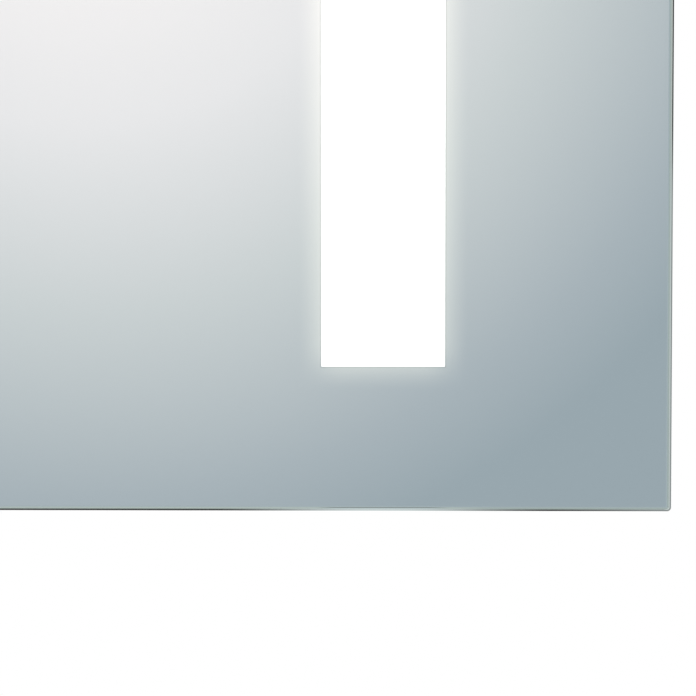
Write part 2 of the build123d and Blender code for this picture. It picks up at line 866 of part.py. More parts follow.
def make_cabinet():
    """Every piece that stays on the wall and the rocker, by name."""
    members = make_body_members()
    pieces = {
        "body_side_left": members["left"],
        "body_side_right": members["right"],
        "body_bottom": members["bottom"],
        "body_top": members["top"],
        "body_corner_keys": make_body_keys(),
        "back_panel": make_back_panel(),
        "back_mirror": make_back_mirror(),
        "supply_bushing": make_supply_bushing(),
        "lead_gland_body": lead_gland(body_front_y, body_wall, -1),
        "service_cover": make_service_cover(),
        "service_brackets": make_service_brackets(),
        "cover_screws": group(place * cover_screw_form() for place in cover_screw_places()),
        "led_driver": make_led_driver(),
        "terminal_block": make_terminal_block(),
        "power_outlet": make_outlet(),
        "switch_housing": make_switch_housing(),
        "switch_rocker": make_switch_rocker(),
    }
    for name, height in zip(("shelf_lower", "shelf_middle", "shelf_upper"), shelf_heights()):
        pieces[name] = make_shelf(height)
    return {**pieces, **make_shelf_clips(), **make_hinge(), **make_catches()}


def make_door():
    """Every piece of the door but its hinge leaf and strikers, by name."""
    members = make_door_members()
    pieces = {
        "door_glass": make_door_glass(),
        "mirror_backing": make_mirror_backing(),
        "door_stile_left": members["left"],
        "door_stile_right": members["right"],
        "door_rail_bottom": members["bottom"],
        "door_rail_top": members["top"],
        "door_corner_keys": make_door_keys(),
        "door_inner_mirror": make_door_inner_mirror(),
        "lead_gland_door": lead_gland(door_back_y, door_frame_wall, 1),
    }
    for word, side in (("left", -1), ("right", 1)):
        for name, piece in make_light(side).items():
            pieces[f"{name}_{word}"] = piece
    return pieces


os.makedirs("parts", exist_ok=True)
for node, shape in {**make_cabinet(), **make_door()}.items():
    export_step(shape, f"parts/{node}.step")
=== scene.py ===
"""Looks of the lighted mirror cabinet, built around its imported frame.

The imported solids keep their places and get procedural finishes. The front glass, its silvering, the
rocker, the buffers and the screws are built here as meshes and ride on the body that carries them.
"""

import json
import logging
import math
from collections.abc import Iterable, Mapping, Sequence
from dataclasses import dataclass, field
from enum import Enum

import bmesh
import bpy
from mathutils import Matrix, Vector


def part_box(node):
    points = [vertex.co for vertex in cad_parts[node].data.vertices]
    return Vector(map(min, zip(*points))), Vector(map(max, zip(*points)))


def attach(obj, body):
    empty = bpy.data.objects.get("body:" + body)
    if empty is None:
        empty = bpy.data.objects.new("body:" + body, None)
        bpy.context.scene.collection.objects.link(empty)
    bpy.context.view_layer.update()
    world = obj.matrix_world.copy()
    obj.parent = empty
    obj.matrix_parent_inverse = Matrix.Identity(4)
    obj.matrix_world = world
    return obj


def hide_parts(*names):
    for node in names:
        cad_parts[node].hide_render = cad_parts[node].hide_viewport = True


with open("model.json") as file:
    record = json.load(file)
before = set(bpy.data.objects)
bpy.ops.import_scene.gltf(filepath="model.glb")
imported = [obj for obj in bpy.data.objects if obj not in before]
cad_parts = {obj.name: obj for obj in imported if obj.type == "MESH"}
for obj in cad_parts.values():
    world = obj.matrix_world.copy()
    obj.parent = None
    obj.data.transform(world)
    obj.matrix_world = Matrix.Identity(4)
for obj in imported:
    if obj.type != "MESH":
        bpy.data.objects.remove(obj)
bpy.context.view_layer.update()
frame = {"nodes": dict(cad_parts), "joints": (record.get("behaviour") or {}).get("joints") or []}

log = logging.getLogger("cabinet")

Colour = tuple[float, float, float, float]
Span = tuple[float, float]
Triple = tuple[float, float, float]
Socket = bpy.types.NodeSocket
Feed = float | Sequence[float] | Socket
Ring = list[bmesh.types.BMVert]
Inputs = tuple[tuple[str, float | Triple], ...]

BLACK: Colour = (0.0, 0.0, 0.0, 1.0)
WHITE: Colour = (1.0, 1.0, 1.0, 1.0)
TO_FRONT = Vector((0.0, -1.0, 0.0))
TO_WALL = Vector((0.0, 1.0, 0.0))
DOWN = Vector((0.0, 0.0, -1.0))
GLASS_IOR = 1.52
SCREEN_FULL = 255
SCREEN_KNEE = 0.04045
SCREEN_SLOPE = 12.92
SCREEN_LIFT = 0.055
SCREEN_POWER = 2.4


class Body(Enum):
    """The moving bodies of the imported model."""

    CABINET = "cabinet"
    DOOR = "door"
    ROCKER = "rocker"


class Side(Enum):
    """The two sides of the cabinet, as the sign of their X."""

    LEFT = -1
    RIGHT = 1


class Pane(Enum):
    """How a pane of glass lies, as the number of the axis that its faces look along."""

    UPRIGHT = 1
    LEVEL = 2


def screen(red: float, green: float, blue: float) -> Colour:
    """Turn a screen colour of 0 to 255 into the linear colour that shaders take.

    Args:
        red: Red on the screen.
        green: Green on the screen.
        blue: Blue on the screen.

    Returns:
        The linear colour with full alpha.
    """
    linear = []
    for shown in (red, green, blue):
        level = shown / SCREEN_FULL
        curved = ((level + SCREEN_LIFT) / (1 + SCREEN_LIFT)) ** SCREEN_POWER
        linear.append(level / SCREEN_SLOPE if level <= SCREEN_KNEE else curved)
    return (linear[0], linear[1], linear[2], 1.0)


def toned(colour: Colour, factor: float, lift: float = 0.0) -> Colour:
    """Multiply a colour by a factor and add a lift to it, no brighter than white."""
    red, green, blue = (min(1.0, channel * factor + lift) for channel in colour[:3])
    return (red, green, blue, 1.0)


def joint_place(name: str) -> Vector:
    """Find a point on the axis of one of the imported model's joints."""
    return Vector(next(joint["pos_m"] for joint in frame["joints"] if joint["name"] == name))


@dataclass(frozen=True)
class FrontLayout:
    """The outline of the front glass and its two light bands, measured from the middle."""

    half_width: float
    half_height: float
    band_width: float = 0.032
    band_side_margin: float = 0.058
    band_end_margin: float = 0.037

    @property
    def band_half_width(self) -> float:
        """Half the width of a band."""
        return self.band_width / 2

    @property
    def band_half_length(self) -> float:
        """Half the length of a band."""
        return self.half_height - self.band_end_margin

    @property
    def band_middle(self) -> float:
        """How far the middle line of a band stands out."""
        return self.half_width - self.band_side_margin - self.band_half_width

    def bands(self) -> list[tuple[Span, Span]]:
        """Find both bands.

        Returns:
            The X range and the Z range of the left band, and those of the right band.
        """
        ranges = []
        for side in Side:
            middle = side.value * self.band_middle
            across = (middle - self.band_half_width, middle + self.band_half_width)
            ranges.append((across, (-self.band_half_length, self.band_half_length)))
        return ranges


GLASS_LOW, GLASS_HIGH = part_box("door_glass")
FRONT = FrontLayout(GLASS_HIGH.x, GLASS_HIGH.z)
FRAME_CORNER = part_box("body_top")[1]


@dataclass
class NodeSheet:
    """Places and links the nodes of one shader tree."""

    tree: bpy.types.NodeTree

    def feed(self, socket: Socket, value: Feed) -> None:
        """Give a socket a link or a plain value.

        Args:
            socket: The input to fill.
            value: Another node's output, a number, or a row of numbers.
        """
        if isinstance(value, Socket):
            self.tree.links.new(value, socket)
        else:
            socket.default_value = value

    def place(
        self,
        kind: str,
        inputs: Mapping[str | int, Feed] | None = None,
        **settings: object,
    ) -> bpy.types.Node:
        """Add a node.

        Args:
            kind: The node's type.
            inputs: What goes into its sockets, by name or number.
            **settings: Its own properties.

        Returns:
            The new node.
        """
        node = self.tree.nodes.new(kind)
        for name, value in settings.items():
            setattr(node, name, value)
        for key, value in (inputs or {}).items():
            self.feed(node.inputs[key], value)
        return node

    def math(self, operation: str, *values: Feed, clamp: bool = False) -> Socket:
        """Add a Math node on its inputs in order, within 0 and 1 where it is clamped."""
        inputs = dict(enumerate(values))
        return self.place("ShaderNodeMath", inputs, operation=operation, use_clamp=clamp).outputs[0]

    def add(self, first: Feed, second: Feed, clamp: bool = False) -> Socket:
        """Add two numbers, and keep the answer within 0 and 1 where it is clamped."""
        return self.math("ADD", first, second, clamp=clamp)

    def less(self, first: Feed, second: Feed, clamp: bool = False) -> Socket:
        """Take the second number from the first."""
        return self.math("SUBTRACT", first, second, clamp=clamp)

    def times(self, first: Feed, second: Feed) -> Socket:
        """Multiply two numbers."""
        return self.math("MULTIPLY", first, second)

    def larger(self, first: Feed, second: Feed) -> Socket:
        """Take the larger of two numbers."""
        return self.math("MAXIMUM", first, second)

    def size(self, value: Feed) -> Socket:
        """Drop a number's sign."""
        return self.math("ABSOLUTE", value)

    def length(self, first: Feed, second: Feed) -> Socket:
        """Find how long the diagonal over two numbers is."""
        return self.math("SQRT", self.add(self.math("POWER", first, 2.0), self.math("POWER", second, 2.0)))

    def blend(self, factor: Feed, first: Feed, second: Feed) -> Socket:
        """Mix two colours, the factor being the share of the second."""
        inputs = {0: factor, 6: first, 7: second}
        return self.place("ShaderNodeMix", inputs, data_type="RGBA").outputs[2]

    def ease(self, value: Feed, low: float, high: float, start: float = 0.0, end: float = 1.0) -> Socket:
        """Run smoothly from start to end while the value crosses the range from low to high."""
        inputs = {0: value, 1: low, 2: high, 3: start, 4: end}
        return self.place("ShaderNodeMapRange", inputs, interpolation_type="SMOOTHSTEP").outputs[0]

    def noise(self, vector: Feed, scale: Feed, detail: float, roughness: float = 0.5) -> Socket:
        """Add a noise texture; its detail is the number of octaves."""
        inputs = {"Vector": vector, "Scale": scale, "Detail": detail, "Roughness": roughness}
        return self.place("ShaderNodeTexNoise", inputs).outputs[0]

    def split(self, vector: Feed) -> tuple[Socket, ...]:
        """Take a vector apart into X, Y and Z."""
        return tuple(self.place("ShaderNodeSeparateXYZ", {0: vector}).outputs)

    def place_on_object(self) -> Socket:
        """Coordinates of the object itself, in metres, the same for every piece."""
        return self.place("ShaderNodeTexCoord").outputs["Object"]

    def geometry(self, label: str) -> Socket:
        """One of the facts about the point that is shaded."""
        return self.place("ShaderNodeNewGeometry").outputs[label]

    def principled(self, inputs: Mapping[str, Feed]) -> bpy.types.Node:
        """Place the Principled shader with its inputs."""
        return self.place("ShaderNodeBsdfPrincipled", inputs)

    def bump(self, height: Feed, strength: float, depth: float) -> Socket:
        """Turn a height into a normal, its depth being in metres."""
        inputs = {"Strength": strength, "Distance": depth, "Height": height}
        return self.place("ShaderNodeBump", inputs).outputs[0]


@dataclass
class EffectSheet(NodeSheet):
    """The nodes of a shared effect, between its inputs and its outputs."""

    entry: bpy.types.Node = field(init=False)
    leave: bpy.types.Node = field(init=False)

    def __post_init__(self) -> None:
        """Place both ends of the group."""
        self.entry = self.place("NodeGroupInput")
        self.leave = self.place("NodeGroupOutput")

    def given(self, label: str) -> Socket:
        """One of the effect's inputs."""
        return self.entry.outputs[label]

    def give(self, label: str, value: Feed) -> None:
        """Fill one of the effect's outputs."""
        self.feed(self.leave.inputs[label], value)


@dataclass(frozen=True)
class Effect:
    """A surface effect that several finishes share, kept as one node group."""

    name: str
    inputs: Inputs
    outputs: tuple[str, ...]

    def group(self) -> bpy.types.NodeTree:
        """Build the effect's node group, or find it when it is already there.

        Returns:
            The node group.
        """
        known = bpy.data.node_groups.get(self.name)
        if known is not None:
            return known
        tree = bpy.data.node_groups.new(self.name, "ShaderNodeTree")
        for label, default in self.inputs:
            kind = "NodeSocketVector" if isinstance(default, tuple) else "NodeSocketFloat"
            tree.interface.new_socket(label, in_out="INPUT", socket_type=kind).default_value = default
        for label in self.outputs:
            tree.interface.new_socket(label, in_out="OUTPUT", socket_type="NodeSocketFloat")
        self.draw(EffectSheet(tree))
        return tree

    def use(self, sheet: NodeSheet, **values: Feed) -> bpy.types.Node:
        """Place the effect in a material.

        Args:
            sheet: The material's nodes.
            **values: Its inputs, by their names in small letters with underscores.

        Returns:
            The group node.
        """
        node = sheet.place("ShaderNodeGroup", node_tree=self.group())
        for label, _ in self.inputs:
            key = label.lower().replace(" ", "_")
            if key in values:
                sheet.feed(node.inputs[label], values[key])
        return node

    def draw(self, sheet: EffectSheet) -> None:
        """Draw the effect; each kind below says how."""
        raise NotImplementedError


@dataclass(frozen=True)
class DieGrain(Effect):
    """Fine lines along one direction, as an extruder's die or a brush leaves them."""

    name: str = "die_grain"
    inputs: Inputs = (("Stretch", (1.0, 1.0, 1.0)), ("Density", 900.0))
    outputs: tuple[str, ...] = ("Lines",)
    octaves: float = 2.0
    coarse_roughness: float = 0.6
    fine_roughness: float = 0.7
    fine_density: float = 4.3
    fine_share: float = 0.4

    def draw(self, sheet: EffectSheet) -> None:
        """Draw the lines from a coarse and a fine noise, both stretched along them.

        Args:
            sheet: The group's nodes.
        """
        density = sheet.given("Density")
        inputs = {0: sheet.place_on_object(), 1: sheet.given("Stretch")}
        stretched = sheet.place("ShaderNodeVectorMath", inputs, operation="MULTIPLY").outputs[0]
        coarse = sheet.noise(stretched, density, self.octaves, self.coarse_roughness)
        finer = sheet.times(density, self.fine_density)
        fine = sheet.noise(stretched, finer, self.octaves, self.fine_roughness)
        lines = sheet.add(sheet.times(coarse, 1.0 - self.fine_share), sheet.times(fine, self.fine_share))
        sheet.give("Lines", lines)


@dataclass(frozen=True)
class CoatingPeel(Effect):
    """The faint waviness of a powder coat or the texture of a mould."""

    name: str = "coating_peel"
    inputs: Inputs = (("Density", 900.0),)
    outputs: tuple[str, ...] = ("Height",)
    broad_octaves: float = 1.0
    sharp_octaves: float = 2.0
    sharp_roughness: float = 0.6
    sharp_density: float = 3.1
    sharp_share: float = 0.35

    def draw(self, sheet: EffectSheet) -> None:
        """Draw broad waves with sharper ones on top.

        Args:
            sheet: The group's nodes.
        """
        where = sheet.place_on_object()
        density = sheet.given("Density")
        broad = sheet.noise(where, density, self.broad_octaves)
        sharper = sheet.times(density, self.sharp_density)
        sharp = sheet.noise(where, sharper, self.sharp_octaves, self.sharp_roughness)
        sheet.give("Height", sheet.add(broad, sheet.times(sharp, self.sharp_share)))


@dataclass(frozen=True)
class ZincSpangle(Effect):
    """Crystals of a zinc coating, each with a tone of its own."""

    name: str = "zinc_spangle"
    inputs: Inputs = (("Density", 140.0),)
    outputs: tuple[str, ...] = ("Tone", "Height")
    bend_scale: float = 260.0
    bend_octaves: float = 2.0
    bend: float = 0.004

    def draw(self, sheet: EffectSheet) -> None:
        """Draw crystals whose borders are bent by a fine noise.

        Args:
            sheet: The group's nodes.
        """
        where = sheet.place_on_object()
        waves = {"Vector": where, "Scale": self.bend_scale, "Detail": self.bend_octaves}
        crooked = sheet.place("ShaderNodeTexNoise", waves).outputs[1]
        inputs = {0: crooked, 1: (self.bend, self.bend, self.bend), 2: where}
        bent = sheet.place("ShaderNodeVectorMath", inputs, operation="MULTIPLY_ADD").outputs[0]
        cells = sheet.place("ShaderNodeTexVoronoi", {"Vector": bent, "Scale": sheet.given("Density")})
        tone = sheet.place("ShaderNodeSeparateColor", {0: cells.outputs["Color"]}).outputs[0]
        sheet.give("Tone", tone)
        sheet.give("Height", cells.outputs["Distance"])


@dataclass(frozen=True)
class HandlingMarks(Effect):
    """Soft smears and hairlines of ordinary handling."""

    name: str = "handling_marks"
    inputs: Inputs = (("Density", 14.0), ("Amount", 0.1))
    outputs: tuple[str, ...] = ("Marks",)
    smear_octaves: float = 4.0
    smear_roughness: float = 0.55
    smear_run: Span = (0.48, 0.72)
    hair_turn: Triple = (0.3, 0.4, 0.5)
    hair_stretch: Triple = (60.0, 900.0, 60.0)
    hair_octaves: float = 3.0
    hair_roughness: float = 0.6
    hair_run: Span = (0.66, 0.72)
    hair_share: float = 0.5

    def draw(self, sheet: EffectSheet) -> None:
        """Draw broad smears and slanted hairlines.

        Args:
            sheet: The group's nodes.
        """
        where = sheet.place_on_object()
        smears = sheet.noise(where, sheet.given("Density"), self.smear_octaves, self.smear_roughness)
        smear = sheet.ease(smears, *self.smear_run)
        inputs = {0: where, 2: self.hair_turn, 3: self.hair_stretch}
        slanted = sheet.place("ShaderNodeMapping", inputs).outputs[0]
        hairs = sheet.noise(slanted, 1.0, self.hair_octaves, self.hair_roughness)
        hair = sheet.times(sheet.ease(hairs, *self.hair_run), self.hair_share)
        sheet.give("Marks", sheet.times(sheet.add(smear, hair, clamp=True), sheet.given("Amount")))


@dataclass(frozen=True)
class EdgeWear(Effect):
    """Edges where the finish is rubbed thin, broken up so that they are not even."""

    name: str = "edge_wear"
    inputs: Inputs = (("Radius", 0.0006),)
    outputs: tuple[str, ...] = ("Edge", "Wear")
    samples: int = 4
    edge_run: Span = (0.995, 0.86)
    patch_scale: float = 180.0
    patch_octaves: float = 3.0
    patch_roughness: float = 0.6
    patch_run: Span = (0.38, 0.6)

    def draw(self, sheet: EffectSheet) -> None:
        """Find the edges by how far a rounded normal turns from the flat one.

        Args:
            sheet: The group's nodes.
        """
        radius = {"Radius": sheet.given("Radius")}
        rounded = sheet.place("ShaderNodeBevel", radius, samples=self.samples).outputs[0]
        both = {0: rounded, 1: sheet.geometry("True Normal")}
        turn = sheet.place("ShaderNodeVectorMath", both, operation="DOT_PRODUCT").outputs["Value"]
        edge = sheet.ease(turn, *self.edge_run)
        where = sheet.place_on_object()
        patches = sheet.noise(where, self.patch_scale, self.patch_octaves, self.patch_roughness)
        sheet.give("Edge", edge)
        sheet.give("Wear", sheet.times(edge, sheet.ease(patches, *self.patch_run)))


@dataclass(frozen=True)
class SettledDust(Effect):
    """A thin uneven veil on faces that look up."""

    name: str = "settled_dust"
    inputs: Inputs = (("Amount", 0.2),)
    outputs: tuple[str, ...] = ("Veil",)
    upward_run: Span = (0.55, 0.95)
    scale: float = 45.0
    octaves: float = 5.0
    roughness: float = 0.65
    run: Span = (0.25, 0.75)

    def draw(self, sheet: EffectSheet) -> None:
        """Draw the veil where the surface looks up.

        Args:
            sheet: The group's nodes.
        """
        upward = sheet.ease(sheet.split(sheet.geometry("Normal"))[2], *self.upward_run)
        cloud = sheet.noise(sheet.place_on_object(), self.scale, self.octaves, self.roughness)
        veil = sheet.times(upward, sheet.ease(cloud, *self.run))
        sheet.give("Veil", sheet.times(veil, sheet.given("Amount")))


@dataclass(frozen=True)
class BandField(Effect):
    """How a point of the front lies to the nearer light band, and how much painted light it gets there."""

    name: str = "band_field"
    inputs: Inputs = (
        ("Middle", FRONT.band_middle),
        ("Half Width", FRONT.band_half_width),
        ("Half Length", FRONT.band_half_length),
        ("Reach", 0.006),
    )
    outputs: tuple[str, ...] = ("Glow", "Inside", "Distance", "Across")
    fall: float = 1.4

    def spread(self, sheet: EffectSheet, off: Socket) -> Socket:
        """Draw how the light fades over one side of a band, from 1 within to 0 beyond its reach.

        Args:
            sheet: The group's nodes.
            off: How far the point lies outside that side.

        Returns:
            The light's socket, a half at the side itself.
        """
        share = sheet.math("DIVIDE", sheet.size(off), sheet.given("Reach"), clamp=True)
        tail = sheet.times(sheet.math("POWER", sheet.less(1.0, share), self.fall), 0.5)
        rise = sheet.math("MULTIPLY_ADD", tail, -2.0, 1.0)
        return sheet.add(tail, sheet.times(sheet.math("LESS_THAN", off, 0.0), rise))

    def draw(self, sheet: EffectSheet) -> None:
        """Draw the band's distances and its glow, which is weaker at its corners.

        Args:
            sheet: The group's nodes.
        """
        x, _, z = sheet.split(sheet.place_on_object())
        across = sheet.size(sheet.less(sheet.size(x), sheet.given("Middle")))
        side = sheet.less(across, sheet.given("Half Width"))
        end = sheet.less(sheet.size(z), sheet.given("Half Length"))
        glow = sheet.times(self.spread(sheet, side), self.spread(sheet, end))
        sheet.give("Glow", sheet.times(glow, 2.0))
        sheet.give("Inside", sheet.math("LESS_THAN", sheet.larger(side, end), 0.0))
        sheet.give("Distance", sheet.length(sheet.larger(side, 0.0), sheet.larger(end, 0.0)))
        sheet.give("Across", across)


@dataclass(frozen=True)
class MitreSeam(Effect):
    """The hairline joint where two mitred members meet at a corner."""

    name: str = "mitre_seam"
    inputs: Inputs = (("Half Width", FRAME_CORNER.x), ("Half Height", FRAME_CORNER.z), ("Line", 0.00012))
    outputs: tuple[str, ...] = ("Seam",)
    reach: float = 0.03

    def draw(self, sheet: EffectSheet) -> None:
        """Draw the diagonal line, which ends where the members' faces do.

        Args:
            sheet: The group's nodes.
        """
        x, _, z = sheet.split(sheet.place_on_object())
        from_side = sheet.less(sheet.given("Half Width"), sheet.size(x))
        from_end = sheet.less(sheet.given("Half Height"), sheet.size(z))
        off = sheet.size(sheet.less(from_side, from_end))
        near = sheet.math("LESS_THAN", off, sheet.given("Line"))
        corner = sheet.math("LESS_THAN", sheet.larger(from_side, from_end), self.reach)
        sheet.give("Seam", sheet.times(near, corner))


GRAIN = DieGrain()
PEEL = CoatingPeel()
SPANGLE = ZincSpangle()
HANDLING = HandlingMarks()
WEAR = EdgeWear()
DUST = SettledDust()
BAND_FIELD = BandField()
MITRE = MitreSeam()
DUST_COLOUR = screen(206, 203, 197)
PEEL_RUN: Span = (0.4, 0.9)


@dataclass(frozen=True)
class Finish:
    """A finish with a name of its own; each kind below draws its own shader."""

    name: str

    def material(self) -> bpy.types.Material:
        """Build the finish's material, or find it when it is already there.

        Returns:
            The material.
        """
        known = bpy.data.materials.get(self.name)
        if known is not None:
            return known
        material = bpy.data.materials.new(self.name)
        material.use_nodes = True
        material.node_tree.nodes.clear()
        sheet = NodeSheet(material.node_tree)
        surface = self.draw(sheet)
        sheet.place("ShaderNodeOutputMaterial", {"Surface": surface.outputs[0]})
        return material

    def draw(self, sheet: NodeSheet) -> bpy.types.Node:
        """Draw the shader; each kind of finish says how."""
        raise NotImplementedError


@dataclass(frozen=True)
class ExtrudedMetal(Finish):
    """Anodised or mill-finish extrusion with die lines along its length."""

    colour: Colour
    roughness: float
    stretch: Triple
    density: float = 2600.0
    line_tone: float = 0.82
    line_run: Span = (0.3, 0.7)
    line_gloss: float = 0.12
    line_relief: float = 0.25
    line_depth: float = 0.00004
    mark_density: float = 11.0
    marks: float = 0.10
    wear_radius: float = 0.0005
    wear_share: float = 0.5
    wear_colour: Colour = screen(236, 237, 238)
    dust: float = 0.16
    dust_gloss: float = 0.4
    seam_colour: Colour = screen(58, 59, 61)

    def draw(self, sheet: NodeSheet) -> bpy.types.Node:
        """Draw satin metal with die lines, a mitre seam, rubbed edges and a little dust.

        Args:
            sheet: The material's nodes.

        Returns:
            The shader.
        """
        lines = GRAIN.use(sheet, stretch=self.stretch, density=self.density).outputs["Lines"]
        marks = HANDLING.use(sheet, density=self.mark_density, amount=self.marks).outputs["Marks"]
        wear = WEAR.use(sheet, radius=self.wear_radius).outputs["Wear"]
        veil = DUST.use(sheet, amount=self.dust).outputs["Veil"]
        seam = MITRE.use(sheet).outputs["Seam"]
        darker = toned(self.colour, self.line_tone)
        colour = sheet.blend(sheet.ease(lines, *self.line_run), self.colour, darker)
        colour = sheet.blend(sheet.times(wear, self.wear_share), colour, self.wear_colour)
        colour = sheet.blend(veil, colour, DUST_COLOUR)
        colour = sheet.blend(seam, colour, self.seam_colour)
        rough = sheet.add(sheet.times(lines, self.line_gloss), self.roughness - self.line_gloss / 2)
        rough = sheet.add(rough, sheet.add(marks, sheet.times(veil, self.dust_gloss)), clamp=True)
        return sheet.principled(
            {
                "Base Color": colour,
                "Metallic": sheet.less(1.0, sheet.larger(veil, seam), clamp=True),
                "Roughness": rough,
                "Normal": sheet.bump(lines, self.line_relief, self.line_depth),
            }
        )


@dataclass(frozen=True)
class SheetSteel(Finish):
    """Galvanised sheet with its spangle."""

    colour: Colour
    roughness: float
    density: float = 150.0
    crystal_tone: float = 0.91
    crystal_gloss: float = 0.07
    crystal_relief: float = 0.15
    crystal_depth: float = 0.00008
    mark_density: float = 7.0
    marks: float = 0.18
    edge_radius: float = 0.0004
    edge_share: float = 0.4
    edge_colour: Colour = screen(214, 216, 218)
    metallic: float = 0.92

    def draw(self, sheet: NodeSheet) -> bpy.types.Node:
        """Draw zinc crystals with a tone and a gloss of their own.

        Args:
            sheet: The material's nodes.

        Returns:
            The shader.
        """
        spangle = SPANGLE.use(sheet, density=self.density)
        marks = HANDLING.use(sheet, density=self.mark_density, amount=self.marks).outputs["Marks"]
        edge = WEAR.use(sheet, radius=self.edge_radius).outputs["Edge"]
        tone = spangle.outputs["Tone"]
        darker = toned(self.colour, self.crystal_tone)
        colour = sheet.blend(sheet.ease(tone, 0.0, 1.0), self.colour, darker)
        colour = sheet.blend(sheet.times(edge, self.edge_share), colour, self.edge_colour)
        rough = sheet.add(sheet.times(tone, self.crystal_gloss), self.roughness)
        return sheet.principled(
            {
                "Base Color": colour,
                "Metallic": self.metallic,
                "Roughness": sheet.add(rough, marks, clamp=True),
                "Normal": sheet.bump(spangle.outputs["Height"], self.crystal_relief, self.crystal_depth),
            }
        )


@dataclass(frozen=True)
class BrightMetal(Finish):
    """Stainless, plated or chromed hardware."""

    colour: Colour
    roughness: float
    stretch: Triple = (1.0, 1.0, 0.05)
    density: float = 3800.0
    lines: float = 0.10
    line_tone: float = 0.78
    line_run: Span = (0.35, 0.65)
    line_depth: float = 0.00003
    mark_density: float = 30.0
    marks: float = 0.08
    edge_radius: float = 0.0003
    edge_share: float = 0.5
    edge_colour: Colour = screen(240, 240, 240)

    def draw(self, sheet: NodeSheet) -> bpy.types.Node:
        """Draw bright metal with brushed lines, smears and brighter edges.

        Args:
            sheet: The material's nodes.

        Returns:
            The shader.
        """
        lines = GRAIN.use(sheet, stretch=self.stretch, density=self.density).outputs["Lines"]
        marks = HANDLING.use(sheet, density=self.mark_density, amount=self.marks).outputs["Marks"]
        edge = WEAR.use(sheet, radius=self.edge_radius).outputs["Edge"]
        darker = toned(self.colour, self.line_tone)
        colour = sheet.blend(sheet.ease(lines, *self.line_run), self.colour, darker)
        colour = sheet.blend(sheet.times(edge, self.edge_share), colour, self.edge_colour)
        rough = sheet.add(sheet.times(lines, self.lines), self.roughness)
        return sheet.principled(
            {
                "Base Color": colour,
                "Metallic": 1.0,
                "Roughness": sheet.add(rough, marks, clamp=True),
                "Normal": sheet.bump(lines, self.lines, self.line_depth),
            }
        )


@dataclass(frozen=True)
class Moulded(Finish):
    """Moulded plastic or a powder coat."""

    colour: Colour
    roughness: float
    density: float = 1400.0
    relief: float = 0.12
    depth: float = 0.00008
    coat: float = 0.0
    coat_roughness: float = 0.12
    shade: float = 0.93
    peel_gloss: float = 0.08
    mark_density: float = 22.0
    marks: float = 0.10
    wear_radius: float = 0.0005
    wear_share: float = 0.6
    wear_tone: float = 1.12
    wear_lift: float = 0.02
    dust: float = 0.14

    def draw(self, sheet: NodeSheet) -> bpy.types.Node:
        """Draw a dielectric with a fine texture, edge tone and a veil of dust.

        Args:
            sheet: The material's nodes.

        Returns:
            The shader.
        """
        height = PEEL.use(sheet, density=self.density).outputs["Height"]
        marks = HANDLING.use(sheet, density=self.mark_density, amount=self.marks).outputs["Marks"]
        wear = WEAR.use(sheet, radius=self.wear_radius).outputs["Wear"]
        veil = DUST.use(sheet, amount=self.dust).outputs["Veil"]
        lighter = toned(self.colour, self.wear_tone, self.wear_lift)
        colour = sheet.blend(sheet.ease(height, *PEEL_RUN), self.colour, toned(self.colour, self.shade))
        colour = sheet.blend(sheet.times(wear, self.wear_share), colour, lighter)
        colour = sheet.blend(veil, colour, DUST_COLOUR)
        rough = sheet.add(sheet.times(height, self.peel_gloss), self.roughness)
        return sheet.principled(
            {
                "Base Color": colour,
                "Roughness": sheet.add(rough, marks, clamp=True),
                "Coat Weight": self.coat,
                "Coat Roughness": self.coat_roughness,
                "Normal": sheet.bump(height, self.relief, self.depth),
            }
        )


@dataclass(frozen=True)
class ClearPlastic(Finish):
    """Soft clear plastic of pads and buffers."""

    colour: Colour
    roughness: float
    density: float = 1800.0
    relief: float = 0.08
    depth: float = 0.00005
    deeper: float = 0.9
    mark_density: float = 60.0
    marks: float = 0.12
    ior: float = 1.46
    clear: float = 0.7

    def draw(self, sheet: NodeSheet) -> bpy.types.Node:
        """Draw a clear soft solid with a slightly matt skin.

        Args:
            sheet: The material's nodes.

        Returns:
            The shader.
        """
        height = PEEL.use(sheet, density=self.density).outputs["Height"]
        marks = HANDLING.use(sheet, density=self.mark_density, amount=self.marks).outputs["Marks"]
        deeper = toned(self.colour, self.deeper)
        return sheet.principled(
            {
                "Base Color": sheet.blend(sheet.ease(height, *PEEL_RUN), self.colour, deeper),
                "Roughness": sheet.add(marks, self.roughness, clamp=True),
                "IOR": self.ior,
                "Transmission Weight": self.clear,
                "Normal": sheet.bump(height, self.relief, self.depth),
            }
        )


@dataclass(frozen=True)
class FloatGlass(Finish):
    """Polished float glass: clear through its faces and green through its edges."""

    face: Colour
    edge: Colour
    pane: Pane
    etch_plane: float | None = None
    face_run: Span = (0.2, 0.9)
    mark_density: float = 9.0
    marks: float = 0.012
    frost: float = 0.45

    def draw(self, sheet: NodeSheet) -> bpy.types.Node:
        """Draw the glass, frosted behind its etch plane where it has one.

        Args:
            sheet: The material's nodes.

        Returns:
            The shader.
        """
        flat = sheet.size(sheet.split(sheet.geometry("True Normal"))[self.pane.value])
        rough = HANDLING.use(sheet, density=self.mark_density, amount=self.marks).outputs["Marks"]
        if self.etch_plane is not None:
            inside = BAND_FIELD.use(sheet).outputs["Inside"]
            depth = sheet.split(sheet.place_on_object())[1]
            frosted = sheet.times(inside, sheet.math("GREATER_THAN", depth, self.etch_plane))
            rough = sheet.add(rough, sheet.times(frosted, self.frost))
        return sheet.principled(
            {
                "Base Color": sheet.blend(sheet.ease(flat, *self.face_run), self.edge, self.face),
                "Roughness": rough,
                "IOR": GLASS_IOR,
                "Transmission Weight": 1.0,
            }
        )


